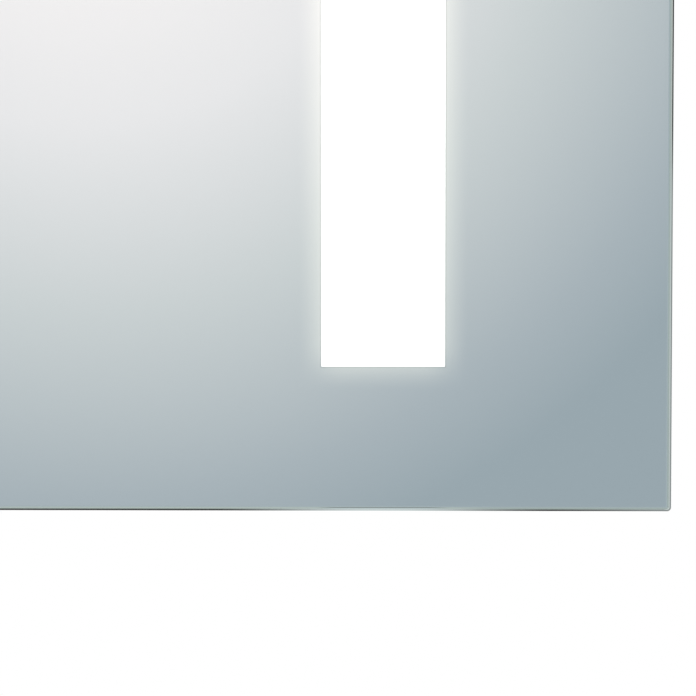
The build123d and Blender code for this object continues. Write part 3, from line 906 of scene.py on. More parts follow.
@dataclass(frozen=True)
class Silvering(Finish):
    """The silver behind the front glass, with painted light: the glow that spreads from the bands and the
    light at its edges are emitted by the silver, which is no lamp.
    """

    colour: Colour
    edge_colour: Colour
    # Emission colours: painted light that the silver gives off at its edges, beside the bands and in a
    # line below them.
    edge_light: Colour
    outer_edge_light: Colour
    glow: Colour
    line_light: Colour
    edge_run: Span = (0.0004, 0.0008)
    outer_run: Span = (FRONT.band_middle + 0.014, FRONT.band_middle + 0.031)
    rim_colour: Colour = screen(150, 158, 160)
    rim_share: float = 0.3
    rim_width: float = 0.0005
    # Where the painted highlight line and the painted shade line run along the edge below the bands.
    light_line_run: Span = (0.00033, 0.00041)
    painted_shade_line_run: Span = (0.00051, 0.00060)
    painted_shade_line_share: float = 0.55
    line_half_lengths: Span = (0.0117, 0.018)

    def draw(self, sheet: NodeSheet) -> bpy.types.Node:
        """Draw the mirror layer: a painted glow at its outer edge and beside the bands, and a painted
        highlight line with a painted shade line below them.

        Args:
            sheet: The material's nodes.

        Returns:
            The shader.
        """
        x, _, z = sheet.split(sheet.place_on_object())
        from_side = sheet.less(FRONT.half_width, sheet.size(x))
        from_end = sheet.less(FRONT.half_height, sheet.size(z))
        margin = sheet.math("MINIMUM", from_side, from_end)
        near = sheet.ease(margin, *self.edge_run, 1.0, 0.0)
        band = BAND_FIELD.use(sheet).outputs
        rim = sheet.times(sheet.ease(band["Distance"], 0.0, self.rim_width, 1.0, 0.0), self.rim_share)
        colour = sheet.blend(near, self.colour, self.edge_colour)
        colour = sheet.blend(rim, colour, self.rim_colour)
        # Painted light: near the outer edge the silver turns to the dark edge colour and emits a pale glow
        # over it, and it emits a glow beside the bands.
        outwards = sheet.ease(sheet.size(x), *self.outer_run)
        edge_light = sheet.blend(outwards, self.edge_light, self.outer_edge_light)
        glow = sheet.blend(near, sheet.blend(band["Glow"], BLACK, self.glow), edge_light)
        # Painted highlight and painted shade: a light line and a black line along the edge below each
        # band.
        below = sheet.ease(band["Across"], *self.line_half_lengths, 1.0, 0.0)
        light = sheet.times(sheet.ease(margin, *self.light_line_run, 1.0, 0.0), below)
        dark = sheet.times(sheet.ease(margin, *self.painted_shade_line_run, self.painted_shade_line_share, 0.0), below)
        glow = sheet.blend(light, sheet.blend(dark, glow, BLACK), self.line_light)
        return sheet.principled(
            {
                "Base Color": sheet.blend(dark, colour, BLACK),
                "Metallic": 1.0,
                "Roughness": 0.0,
                "Emission Color": glow,
                "Emission Strength": 1.0,
            }
        )


@dataclass(frozen=True)
class GlassRim(Finish):
    """The polished or seamed edge of the front glass, with painted light that it emits where a band ends
    near it and at its corners.
    """

    colour: Colour
    roughness: float
    clear: float
    # Emission colours, all painted light: below the bands and at the corners, elsewhere, along the sides,
    # and seen from inside the glass.
    light: Colour
    painted_rest_light: Colour = BLACK
    painted_side_light: Colour = BLACK
    within: Colour | None = None
    side_run: Span = (FRONT.half_width - 0.0015, FRONT.half_width - 0.0008)
    light_run: Span = (0.002, 0.045)
    corner_light_height: Span = (FRONT.half_height - 0.103, FRONT.half_height - 0.078)
    corner_light_width: Span = (FRONT.half_width - 0.035, FRONT.half_width + 0.007)
    corner_light_share: float = 0.42
    fleck_scale: float = 120.0
    fleck_octaves: float = 3.0
    fleck_roughness: float = 0.6
    fleck_run: Span = (0.3, 0.7)
    fleck_tone: float = 1.25
    fleck_gloss: float = 0.05

    def draw(self, sheet: NodeSheet) -> bpy.types.Node:
        """Draw the edge, with painted light emitted below the bands and at the corners, a fainter painted
        light elsewhere and along the sides, and painted light seen from inside the glass where it is
        given.

        Args:
            sheet: The material's nodes.

        Returns:
            The shader.
        """
        where = sheet.place_on_object()
        x, _, z = sheet.split(where)
        # Painted light: the edge emits light below the bands and at the upper and lower corners.
        below = sheet.ease(BAND_FIELD.use(sheet).outputs["Across"], *self.light_run, 1.0, 0.0)
        aside = sheet.times(sheet.ease(sheet.size(x), *self.corner_light_width), self.corner_light_share)
        high = sheet.ease(sheet.size(z), *self.corner_light_height)
        lit = sheet.larger(below, sheet.times(aside, high))
        painted_rest_light = sheet.blend(sheet.ease(sheet.size(x), *self.side_run), self.painted_rest_light, self.painted_side_light)
        shine = sheet.blend(lit, painted_rest_light, self.light)
        # Painted light on the faces seen from inside the glass.
        if self.within is not None:
            shine = sheet.blend(sheet.geometry("Backfacing"), shine, self.within)
        flecks = sheet.noise(where, self.fleck_scale, self.fleck_octaves, self.fleck_roughness)
        fleck = sheet.ease(flecks, *self.fleck_run)
        return sheet.principled(
            {
                "Base Color": sheet.blend(fleck, self.colour, toned(self.colour, self.fleck_tone)),
                "Roughness": sheet.add(sheet.times(fleck, self.fleck_gloss), self.roughness),
                "IOR": GLASS_IOR,
                "Transmission Weight": self.clear,
                "Emission Color": shine,
                "Emission Strength": 1.0,
            }
        )


@dataclass(frozen=True)
class MirrorPlate(Finish):
    """A silvered plate seen as one solid: a mirror on its face and green glass at its edges."""

    face: Colour
    edge: Colour
    least_flat: float = 0.9
    edge_roughness: float = 0.12
    mark_density: float = 6.0
    marks: float = 0.02
    coat: float = 0.4
    coat_roughness: float = 0.02

    def draw(self, sheet: NodeSheet) -> bpy.types.Node:
        """Draw the face as a mirror and the thin sides as polished glass edges.

        Args:
            sheet: The material's nodes.

        Returns:
            The shader.
        """
        turn = sheet.size(sheet.split(sheet.geometry("True Normal"))[Pane.UPRIGHT.value])
        flat = sheet.math("GREATER_THAN", turn, self.least_flat)
        marks = HANDLING.use(sheet, density=self.mark_density, amount=self.marks).outputs["Marks"]
        return sheet.principled(
            {
                "Base Color": sheet.blend(flat, self.edge, self.face),
                "Metallic": flat,
                "Roughness": sheet.add(marks, sheet.times(sheet.less(1.0, flat), self.edge_roughness)),
                "Coat Weight": self.coat,
                "Coat Roughness": self.coat_roughness,
            }
        )


@dataclass(frozen=True)
class Lit(Finish):
    """A surface that shines: the opal diffuser and the lamp packages."""

    colour: Colour
    light: Colour
    strength: float
    roughness: float = 0.4
    density: float = 600.0
    peel_gloss: float = 0.1
    shade: float = 0.95
    dimmer: float = 0.96

    def draw(self, sheet: NodeSheet) -> bpy.types.Node:
        """Draw an even glow with a faint fleck of the opal filler.

        Args:
            sheet: The material's nodes.

        Returns:
            The shader.
        """
        height = PEEL.use(sheet, density=self.density).outputs["Height"]
        fleck = sheet.ease(height, *PEEL_RUN)
        return sheet.principled(
            {
                "Base Color": sheet.blend(fleck, self.colour, toned(self.colour, self.shade)),
                "Roughness": sheet.add(sheet.times(height, self.peel_gloss), self.roughness),
                "Emission Color": sheet.blend(fleck, self.light, toned(self.light, self.dimmer)),
                "Emission Strength": self.strength,
            }
        )


@dataclass(frozen=True)
class LampBoard(Finish):
    """A white lamp board with copper pads that show faintly through its mask."""

    colour: Colour
    track: Colour
    roughness: float = 0.35
    pad_pitch: float = 0.0235
    pad_run: Span = (0.75, 0.85)
    pad_share: float = 0.35
    weave_density: float = 2400.0
    weave_gloss: float = 0.1
    weave_relief: float = 0.1
    weave_depth: float = 0.00005

    def draw(self, sheet: NodeSheet) -> bpy.types.Node:
        """Draw the mask, its pads at an even pitch and the weave under it.

        Args:
            sheet: The material's nodes.

        Returns:
            The shader.
        """
        z = sheet.split(sheet.place_on_object())[2]
        wave = sheet.size(sheet.math("SINE", sheet.times(z, math.pi / self.pad_pitch)))
        pad = sheet.times(sheet.ease(wave, *self.pad_run), self.pad_share)
        weave = PEEL.use(sheet, density=self.weave_density).outputs["Height"]
        return sheet.principled(
            {
                "Base Color": sheet.blend(pad, self.colour, self.track),
                "Roughness": sheet.add(sheet.times(weave, self.weave_gloss), self.roughness),
                "Normal": sheet.bump(weave, self.weave_relief, self.weave_depth),
            }
        )


@dataclass(frozen=True)
class Floor(Finish):
    """The pale studio floor, which thins out towards its rim so that no edge shows."""

    colour: Colour
    fade_run: Span
    roughness: float = 0.75
    speckle_scale: float = 8.0
    speckle_octaves: float = 4.0
    speckle_tone: float = 0.985

    def draw(self, sheet: NodeSheet) -> bpy.types.Node:
        """Draw a pale matt floor that lets the surroundings through at its rim.

        Args:
            sheet: The material's nodes.

        Returns:
            The shader.
        """
        where = sheet.place_on_object()
        x, y, _ = sheet.split(where)
        rim = sheet.ease(sheet.length(x, y), *self.fade_run)
        speckle = sheet.noise(where, self.speckle_scale, self.speckle_octaves)
        tint = sheet.blend(speckle, self.colour, toned(self.colour, self.speckle_tone))
        matt = sheet.principled({"Base Color": tint, "Roughness": self.roughness})
        gone = sheet.place("ShaderNodeBsdfTransparent")
        return sheet.place("ShaderNodeMixShader", {0: rim, 1: matt.outputs[0], 2: gone.outputs[0]})


ALONG_X: Triple = (0.02, 1.0, 1.0)
ALONG_Z: Triple = (1.0, 1.0, 0.02)
EVEN: Triple = (1.0, 1.0, 1.0)


class Finishes:
    """Every finish of the cabinet."""

    anodised_upright = ExtrudedMetal("anodised_upright", screen(222, 224, 226), 0.34, ALONG_Z)
    anodised_level = ExtrudedMetal("anodised_level", screen(222, 224, 226), 0.34, ALONG_X)
    mill_upright = ExtrudedMetal("mill_upright", screen(205, 207, 209), 0.28, ALONG_Z)
    key_metal = BrightMetal("key_metal", screen(190, 192, 194), 0.42)
    galvanised = SheetSteel("galvanised", screen(204, 208, 211), 0.34)
    white_steel = Moulded("white_steel", screen(236, 237, 238), 0.42, density=1100.0, relief=0.2)
    # The silver's light and glow colours are painted light emitted by the mirror layer.
    silver = Silvering(
        "silver",
        colour=screen(249, 251, 251),
        edge_colour=screen(120, 128, 124),
        edge_light=(0.345, 0.39, 0.37, 1.0),
        outer_edge_light=(0.27, 0.315, 0.305, 1.0),
        glow=(0.158, 0.150, 0.118, 1.0),
        line_light=(0.45, 0.52, 0.53, 1.0),
    )
    # The glass rims' light colours are painted light that their edges emit.
    glass_side = GlassRim(
        "glass_side",
        colour=screen(214, 233, 225),
        roughness=0.0,
        clear=1.0,
        light=(0.10, 0.11, 0.11, 1.0),
    )
    glass_seam = GlassRim(
        "glass_seam",
        colour=screen(22, 26, 24),
        roughness=0.45,
        clear=0.0,
        light=(0.52, 0.58, 0.58, 1.0),
        within=(0.36, 0.43, 0.46, 1.0),
    )
    glass_back_seam = GlassRim(
        "glass_back_seam",
        colour=screen(60, 68, 64),
        roughness=0.45,
        clear=0.0,
        light=(0.50, 0.57, 0.58, 1.0),
        painted_rest_light=(0.19, 0.22, 0.21, 1.0),
        painted_side_light=(0.42, 0.46, 0.44, 1.0),
    )
    safety_film = Moulded("safety_film", screen(150, 158, 166), 0.55, density=500.0, relief=0.2)
    inner_mirror = MirrorPlate("inner_mirror", face=screen(240, 244, 244), edge=screen(96, 140, 126))
    front_glass = FloatGlass(
        "front_glass",
        face=screen(254, 255, 254),
        edge=screen(214, 233, 225),
        pane=Pane.UPRIGHT,
        etch_plane=GLASS_HIGH.y - 0.0003,
    )
    shelf_glass = FloatGlass(
        "shelf_glass", face=screen(243, 251, 248), edge=screen(74, 150, 126), pane=Pane.LEVEL
    )
    hinge_steel = BrightMetal("hinge_steel", screen(198, 200, 202), 0.24)
    striker_steel = BrightMetal("striker_steel", screen(190, 192, 194), 0.3, stretch=(0.05, 1.0, 1.0))
    zinc_screw = BrightMetal("zinc_screw", screen(206, 208, 210), 0.26, EVEN, lines=0.05)
    # Painted shade: the screw recesses get a darker steel so that they read as deep.
    painted_recess_shade = BrightMetal("painted_recess_shade", screen(96, 97, 99), 0.5, EVEN, lines=0.05)
    clip_chrome = BrightMetal("clip_chrome", screen(226, 227, 228), 0.08, EVEN, lines=0.03)
    magnet = BrightMetal("magnet", screen(150, 150, 152), 0.3, EVEN, lines=0.08)
    clear_plastic = ClearPlastic("clear_plastic", screen(214, 220, 223), 0.18)
    white_plastic = Moulded(
        "white_plastic", screen(238, 238, 236), 0.3, density=1700.0, relief=0.06, coat=0.15
    )
    grey_plastic = Moulded("grey_plastic", screen(150, 152, 154), 0.48)
    black_plastic = Moulded("black_plastic", screen(34, 35, 37), 0.5)
    driver_case = Moulded("driver_case", screen(232, 232, 230), 0.46, density=900.0, relief=0.25)
    opal = Lit("opal_diffuser", screen(250, 250, 248), (1.0, 1.0, 0.985, 1.0), 1.6)
    phosphor = Lit("lamp_package", screen(246, 232, 150), (1.0, 0.95, 0.80, 1.0), 3.0)
    board = LampBoard("lamp_board", screen(240, 242, 240), screen(205, 196, 180))


SMOOTH_ANGLE = 35


def dress(finish: Finish, *nodes: str) -> None:
    """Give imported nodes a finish.

    Args:
        finish: The finish.
        *nodes: The nodes' names.
    """
    material = finish.material()
    for name in nodes:
        piece = frame["nodes"][name]
        if not piece.material_slots:
            piece.data.materials.append(material)
        for slot in piece.material_slots:
            slot.material = material
        log.info("dressed %s with %s", name, finish.name)


def new_piece(
    name: str,
    shape: bmesh.types.BMesh,
    body: Body,
    finishes: Sequence[Finish],
    smooth: bool = False,
) -> bpy.types.Object:
    """Turn a mesh into a piece that rides on a body.

    Args:
        name: The piece's name.
        shape: Its mesh, in metres in the cabinet's frame. It is freed here.
        body: The body that carries it.
        finishes: Its finishes, in the order of its faces' material numbers.
        smooth: Whether its faces blend into each other.

    Returns:
        The piece.
    """
    bmesh.ops.recalc_face_normals(shape, faces=shape.faces[:])
    mesh = bpy.data.meshes.new(name)
    shape.to_mesh(mesh)
    shape.free()
    piece = bpy.data.objects.new(name, mesh)
    bpy.context.scene.collection.objects.link(piece)
    for finish in finishes:
        mesh.materials.append(finish.material())
    if smooth:
        mesh.shade_smooth()
        mesh.set_sharp_from_angle(angle=math.radians(SMOOTH_ANGLE))
    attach(piece, body.value)
    log.info("built %s on %s with %d faces", name, body.value, len(mesh.polygons))
    return piece


def facing(direction: Vector, place: Sequence[float], roll: float = 0.0) -> Matrix:
    """Make a place whose Z looks along a direction, rolled about it."""
    turn = direction.to_track_quat("Z", "X").to_matrix().to_4x4()
    return Matrix.Translation(Vector(place)) @ turn @ Matrix.Rotation(roll, 4, "Z")


def round_ring(
    shape: bmesh.types.BMesh, place: Matrix, radius: float, height: float, segments: int
) -> Ring:
    """Add a circle of corners.

    Args:
        shape: The mesh.
        place: Where the circle's axis stands, along its Z.
        radius: The circle's radius.
        height: How far it lies along the axis.
        segments: How many corners it has.

    Returns:
        Its corners in order.
    """
    ring = []
    for index in range(segments):
        turn = index * math.tau / segments
        corner = Vector((math.cos(turn) * radius, math.sin(turn) * radius, height))
        ring.append(shape.verts.new(place @ corner))
    return ring


def join_rings(shape: bmesh.types.BMesh, first: Ring, second: Ring, material: int = 0) -> None:
    """Join two rings of corners with a band of faces.

    Args:
        shape: The mesh.
        first: One ring.
        second: The other, with as many corners.
        material: The material number of the faces.
    """
    for index in range(len(first)):
        after = (index + 1) % len(first)
        wall = shape.faces.new((first[index], first[after], second[after], second[index]))
        wall.material_index = material


def ring_edges(shape: bmesh.types.BMesh, ring: Ring) -> list[bmesh.types.BMEdge]:
    """Find the edges round a ring of corners."""
    return [shape.edges.get(pair) for pair in zip(ring, ring[1:] + ring[:1])]


@dataclass(frozen=True)
class WindowedPlate:
    """An upright plate with rectangular windows, its face towards -Y as material 0."""

    x_range: Span
    y_range: Span
    z_range: Span
    windows: Sequence[tuple[Span, Span]]

    def cuts(self, outer: Span, inner: Iterable[Span]) -> list[float]:
        """List where the plate's grid is cut along one axis."""
        return sorted({*outer, *[value for span in inner for value in span]})

    def solid(self, x_cell: Sequence[float], z_cell: Sequence[float]) -> bool:
        """Say whether a cell of the grid is plate.

        Args:
            x_cell: The cell's sides, fewer than two where it lies beyond the plate.
            z_cell: Its lower and upper end, likewise.

        Returns:
            Whether it is neither a window nor beyond the plate.
        """
        if len(x_cell) < 2 or len(z_cell) < 2:
            return False
        x, z = sum(x_cell) / 2, sum(z_cell) / 2
        return not any(a[0] < x < a[1] and b[0] < z < b[1] for a, b in self.windows)

    def build(self) -> bmesh.types.BMesh:
        """Build the plate's mesh.

        Returns:
            The mesh, with its back and its sides as material 1.
        """
        cuts_x = self.cuts(self.x_range, [across for across, _ in self.windows])
        cuts_z = self.cuts(self.z_range, [along for _, along in self.windows])
        cells_x = [(), *zip(cuts_x, cuts_x[1:]), ()]
        cells_z = [(), *zip(cuts_z, cuts_z[1:]), ()]
        front, back = self.y_range
        shape = bmesh.new()
        corners = {
            (x, y, z): shape.verts.new((x, y, z)) for x in cuts_x for y in self.y_range for z in cuts_z
        }
        for column in range(1, len(cells_x) - 1):
            for row in range(1, len(cells_z) - 1):
                across, along = cells_x[column], cells_z[row]
                if not self.solid(across, along):
                    continue
                (x0, x1), (z0, z1) = across, along
                outline = ((x0, z0), (x1, z0), (x1, z1), (x0, z1))
                shape.faces.new([corners[x, front, z] for x, z in outline])
                rear = shape.faces.new([corners[x, back, z] for x, z in reversed(outline)])
                rear.material_index = 1
                walls = (
                    (cells_x[column - 1], along, (x0, z0), (x0, z1)),
                    (cells_x[column + 1], along, (x1, z1), (x1, z0)),
                    (across, cells_z[row - 1], (x1, z0), (x0, z0)),
                    (across, cells_z[row + 1], (x0, z1), (x1, z1)),
                )
                for x_cell, z_cell, (ax, az), (bx, bz) in walls:
                    if not self.solid(x_cell, z_cell):
                        sides = ((ax, front, az), (bx, front, bz), (bx, back, bz), (ax, back, az))
                        shape.faces.new([corners[side] for side in sides]).material_index = 1
        return shape


@dataclass(frozen=True)
class ScrewHead:
    """A screw's head with a cross recess."""

    radius: float
    proud: float
    floor: float
    recess: float
    slot: float = 0.17
    taper: float = 0.7
    segments: int = 24
    crown: tuple[Span, ...] = ((1.0, 0.0), (1.0, 0.35), (0.93, 0.72), (0.8, 0.93))

    def cross(self, scale: float, height: float) -> list[Vector]:
        """Give the corners of the recess.

        Args:
            scale: Its size as a share of its mouth.
            height: Their height over the head's seat.

        Returns:
            Twelve corners in order.
        """
        long, short = self.radius * self.recess * scale, self.radius * self.slot * scale
        corners = []
        for quarter in range(4):
            turn = Matrix.Rotation(quarter * math.pi / 2, 4, "Z")
            for x, y in ((long, -short), (long, short), (short, short)):
                corners.append(turn @ Vector((x, y, height)))
        return corners

    def add(self, shape: bmesh.types.BMesh, place: Matrix) -> None:
        """Add one head to a mesh.

        Args:
            shape: The mesh.
            place: Where the seat's middle is, with the head's face along its Z.
        """
        rings = []
        for share, rise in self.crown:
            rings.append(round_ring(shape, place, self.radius * share, self.proud * rise, self.segments))
        for lower, upper in zip(rings, rings[1:]):
            join_rings(shape, lower, upper)
        mouth = [shape.verts.new(place @ corner) for corner in self.cross(1.0, self.proud)]
        floor = [shape.verts.new(place @ corner) for corner in self.cross(self.taper, self.floor)]
        # Material 1, the recess, carries the painted shade.
        join_rings(shape, mouth, floor, material=1)
        shape.faces.new(floor).material_index = 1
        edges = ring_edges(shape, rings[-1]) + ring_edges(shape, mouth)
        bmesh.ops.triangle_fill(shape, edges=edges, use_beauty=True)
        shape.faces.new(list(reversed(rings[0])))


def screw_piece(name: str, shape: bmesh.types.BMesh, body: Body) -> bpy.types.Object:
    """Turn a mesh of screw heads into a piece with bright heads and recesses in a painted shade."""
    finishes = (Finishes.zinc_screw, Finishes.painted_recess_shade)
    return new_piece(name, shape, body, finishes, smooth=True)


@dataclass
class StudioCamera:
    """The camera that took the photograph, as its straight lines give it."""

    lens: float = 100.0
    sensor: float = 36.0
    nearest: float = 0.01
    place: Triple = (0.22946, -0.61618, -0.32069)
    pitch: float = 2.119
    yaw: float = -0.864

    def build(self) -> bpy.types.Object:
        """Make the camera and look through it.

        Returns:
            The camera.
        """
        data = bpy.data.cameras.new("camera")
        data.lens = self.lens
        data.sensor_width = self.sensor
        data.dof.use_dof = False
        data.clip_start = self.nearest
        camera = bpy.data.objects.new("camera", data)
        bpy.context.scene.collection.objects.link(camera)
        turn = Matrix.Rotation(-math.radians(self.yaw), 4, "Z")
        tilt = Matrix.Rotation(math.radians(90 - self.pitch), 4, "X")
        camera.matrix_world = Matrix.Translation(Vector(self.place)) @ turn @ tilt
        bpy.context.scene.camera = camera
        log.info("built the camera")
        return camera


@dataclass(frozen=True)
class SoftLight:
    """A square soft light that looks at the cabinet."""

    name: str
    place: Triple
    size: float
    power: float

    def build(self) -> None:
        """Make the light, which no mirror shows and no glass lets through."""
        data = bpy.data.lights.new(self.name, "AREA")
        data.size = self.size
        data.energy = self.power
        light = bpy.data.objects.new(self.name, data)
        bpy.context.scene.collection.objects.link(light)
        light.location = self.place
        light.rotation_euler = (-Vector(self.place)).to_track_quat("-Z", "Y").to_euler()
        light.visible_glossy = False
        light.visible_transmission = False
        log.info("built the %s light", self.name)


@dataclass
class StudioRoom:
    """The white room: what the mirror sees of it, its soft lights and its floor."""

    bright_spot: Span = (-0.154, 0.241)
    least_ahead: float = 0.02
    ambient: Colour = (0.62, 0.62, 0.62, 1.0)
    floor_level: float = -1.45
    floor_radius: float = 3.0
    floor_segments: int = 96
    floor_fade: Span = (0.35, 0.95)
    rings: tuple[tuple[float, Colour], ...] = (
        (0.070, screen(252, 247, 248)),
        (0.163, screen(238, 236, 238)),
        (0.259, screen(207, 212, 214)),
        (0.356, screen(172, 182, 189)),
        (0.400, screen(157, 170, 178)),
        (0.480, screen(156, 169, 177)),
        (1.000, screen(216, 218, 220)),
    )
    lights: tuple[SoftLight, ...] = (
        SoftLight("key", (-1.3, -2.3, 1.7), 1.3, 21.0),
        SoftLight("fill", (1.8, -1.4, 0.7), 1.2, 7.0),
        SoftLight("back", (1.2, 2.2, 1.5), 1.3, 18.0),
    )

    def build(self) -> None:
        """Make the world, the lights and the floor."""
        self.build_world()
        for light in self.lights:
            light.build()
        self.build_floor()

    def glow(self, sheet: NodeSheet) -> Socket:
        """Draw the soft round glow that the mirror shows.

        Args:
            sheet: The world's nodes.

        Returns:
            The glow's colour, in rings round its bright spot.
        """
        x, y, z = sheet.split(sheet.place("ShaderNodeTexCoord").outputs["Generated"])
        ahead = sheet.larger(sheet.times(y, -1.0), self.least_ahead)
        across = sheet.less(sheet.math("DIVIDE", x, ahead), self.bright_spot[0])
        above = sheet.less(sheet.math("DIVIDE", z, ahead), self.bright_spot[1])
        ramp = sheet.place("ShaderNodeValToRGB", {0: sheet.length(across, above)})
        stops = ramp.color_ramp.elements
        while len(stops) < len(self.rings):
            stops.new(0.5)
        for stop, (reach, colour) in zip(stops, self.rings):
            stop.position = reach
            stop.color = colour
        return ramp.outputs[0]

    def build_world(self) -> None:
        """Make the surroundings: white to the eye, and the glow in what is mirrored."""
        world = bpy.data.worlds.new("studio")
        bpy.context.scene.world = world
        world.use_nodes = True
        world.node_tree.nodes.clear()
        sheet = NodeSheet(world.node_tree)
        path = sheet.place("ShaderNodeLightPath").outputs
        mirrored = sheet.math("GREATER_THAN", path["Glossy Depth"], 0.5)
        through = sheet.times(path["Is Transmission Ray"], sheet.less(1.0, mirrored))
        glossy = sheet.larger(mirrored, path["Is Glossy Ray"])
        colour = sheet.blend(glossy, self.ambient, self.glow(sheet))
        colour = sheet.blend(sheet.larger(path["Is Camera Ray"], through), colour, WHITE)
        background = sheet.place("ShaderNodeBackground", {"Color": colour, "Strength": 1.0})
        sheet.place("ShaderNodeOutputWorld", {"Surface": background.outputs[0]})
        log.info("built the surroundings")

    def build_floor(self) -> None:
        """Make the floor that the cabinet hangs above."""
        shape = bmesh.new()
        bmesh.ops.create_circle(
            shape, cap_ends=True, segments=self.floor_segments, radius=self.floor_radius
        )
        mesh = bpy.data.meshes.new("floor")
        shape.to_mesh(mesh)
        shape.free()
        floor = bpy.data.objects.new("floor", mesh)
        bpy.context.scene.collection.objects.link(floor)
        floor.location = (0.0, 0.0, self.floor_level)
        nearer, farther = self.floor_fade
        fade_run = (self.floor_radius * nearer, self.floor_radius * farther)
        mesh.materials.append(Floor("studio_floor", screen(244, 244, 243), fade_run).material())
        log.info("built the floor")


@dataclass
class MirrorDoor:
    """The door: its silvering, glass, frame, lights and inner mirror."""

    silver_lead: float = 0.00003
    corner_radius: float = 0.001
    least_radius: float = 0.0002
    corner_steps: int = 6
    front_arris: float = 0.0004
    back_arris: float = 0.0002
    arris_share: float = 0.3
    etch_depth: float = 0.00015

    def build_silvering(self) -> None:
        """Make the silver and its backing, cut away over the bands."""
        low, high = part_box("mirror_backing")
        reach_x, reach_z = FRONT.half_width - self.back_arris, FRONT.half_height - self.back_arris
        depths = (low.y - self.silver_lead, high.y)
        plate = WindowedPlate((-reach_x, reach_x), depths, (-reach_z, reach_z), FRONT.bands())
        finishes = (Finishes.silver, Finishes.safety_film)
        piece = new_piece("mirror_silver", plate.build(), Body.DOOR, finishes)
        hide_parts("mirror_backing")

    def outline(self, shape: bmesh.types.BMesh, inset: float, y: float) -> Ring:
        """Add the glass's outline at one depth.

        Args:
            shape: The mesh.
            inset: How far it lies inside the glass's outer faces.
            y: Its depth.

        Returns:
            Its corners in order.
        """
        ring = []
        radius = max(self.corner_radius - inset, self.least_radius)
        for quarter, (side_x, side_z) in enumerate(((1, 1), (-1, 1), (-1, -1), (1, -1))):
            centre_x = side_x * (FRONT.half_width - inset - radius)
            centre_z = side_z * (FRONT.half_height - inset - radius)
            for step in range(self.corner_steps + 1):
                turn = (quarter + step / self.corner_steps) * math.pi / 2
                x, z = centre_x + radius * math.cos(turn), centre_z + radius * math.sin(turn)
                ring.append(shape.verts.new((x, y, z)))
        return ring

    def band_rings(self, shape: bmesh.types.BMesh, y: float) -> list[Ring]:
        """Add the outlines of both bands at one depth.

        Args:
            shape: The mesh.
            y: The depth.

        Returns:
            For each band its four corners in order.
        """
        rings = []
        for (x0, x1), (z0, z1) in FRONT.bands():
            corners = ((x0, z0), (x1, z0), (x1, z1), (x0, z1))
            rings.append([shape.verts.new((x, y, z)) for x, z in corners])
        return rings

    def build_glass(self) -> None:
        """Make the front glass with its seamed edges, dubbed corners and etched bands."""
        low, high = GLASS_LOW, GLASS_HIGH
        front, back = self.front_arris, self.back_arris
        within = self.arris_share
        shape = bmesh.new()
        depths = (
            (front, low.y),
            (front * within, low.y + front * within),
            (0.0, low.y + front),
            (0.0, high.y - back),
            (back * within, high.y - back * within),
            (back, high.y),
        )
        rings = [self.outline(shape, inset, y) for inset, y in depths]
        for first, second, material in zip(rings, rings[1:], (2, 2, 1, 3, 3)):
            join_rings(shape, first, second, material)
        shape.faces.new(rings[0])
        mouths = self.band_rings(shape, high.y)
        floors = self.band_rings(shape, high.y - self.etch_depth)
        edges = ring_edges(shape, rings[-1])
        for mouth, floor in zip(mouths, floors):
            join_rings(shape, mouth, floor)
            edges += ring_edges(shape, mouth)
            shape.faces.new(floor)
        bmesh.ops.triangle_fill(shape, edges=edges, use_beauty=True)
        finishes = (
            Finishes.front_glass, Finishes.glass_side, Finishes.glass_seam, Finishes.glass_back_seam
        )
        piece = new_piece("front_glass", shape, Body.DOOR, finishes)
        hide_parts("door_glass")

    def build(self) -> None:
        """Build and dress the whole door."""
        self.build_silvering()
        self.build_glass()
        dress(Finishes.anodised_upright, "door_stile_left", "door_stile_right")
        dress(Finishes.anodised_level, "door_rail_bottom", "door_rail_top")
        dress(Finishes.key_metal, "door_corner_keys")
        dress(Finishes.inner_mirror, "door_inner_mirror")
        dress(Finishes.grey_plastic, "lead_gland_door")
        dress(Finishes.striker_steel, "striker_plates")
        for side in Side:
            word = side.name.lower()
            dress(Finishes.mill_upright, f"light_channel_{word}")
            dress(Finishes.white_plastic, f"channel_end_caps_{word}")
            dress(Finishes.opal, f"light_diffuser_{word}")
            dress(Finishes.board, f"led_board_{word}")
            dress(Finishes.phosphor, f"led_packages_{word}")


@dataclass
class ContinuousHinge:
    """The hinge along the left edge and its countersunk screws."""

    screw_count: int = 7
    screw_pitch: float = 0.1
    head: ScrewHead = ScrewHead(radius=0.0026, proud=0.00026, floor=0.00003, recess=0.58)
    leaf_x: float = -0.2895
    half_gap: float = 0.0003
    first_roll: float = 0.5
    roll_step: float = 1.3

    def build_screws(self) -> None:
        """Make the screws of both leaves."""
        low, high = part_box("hinge_pin")
        middle = (low.y + high.y) / 2
        leaves = (
            ("hinge_screws_body", Body.CABINET, TO_FRONT),
            ("hinge_screws_door", Body.DOOR, TO_WALL),
        )
        for name, body, look in leaves:
            shape = bmesh.new()
            for index in range(self.screw_count):
                height = (index - (self.screw_count - 1) / 2) * self.screw_pitch
                seat = (self.leaf_x, middle - look.y * self.half_gap, height)
                self.head.add(shape, facing(look, seat, self.first_roll + index * self.roll_step))
            screw_piece(name, shape, body)

    def build(self) -> None:
        """Build and dress the hinge."""
        dress(Finishes.hinge_steel, "hinge_leaf_body", "hinge_leaf_door", "hinge_pin")
        self.build_screws()


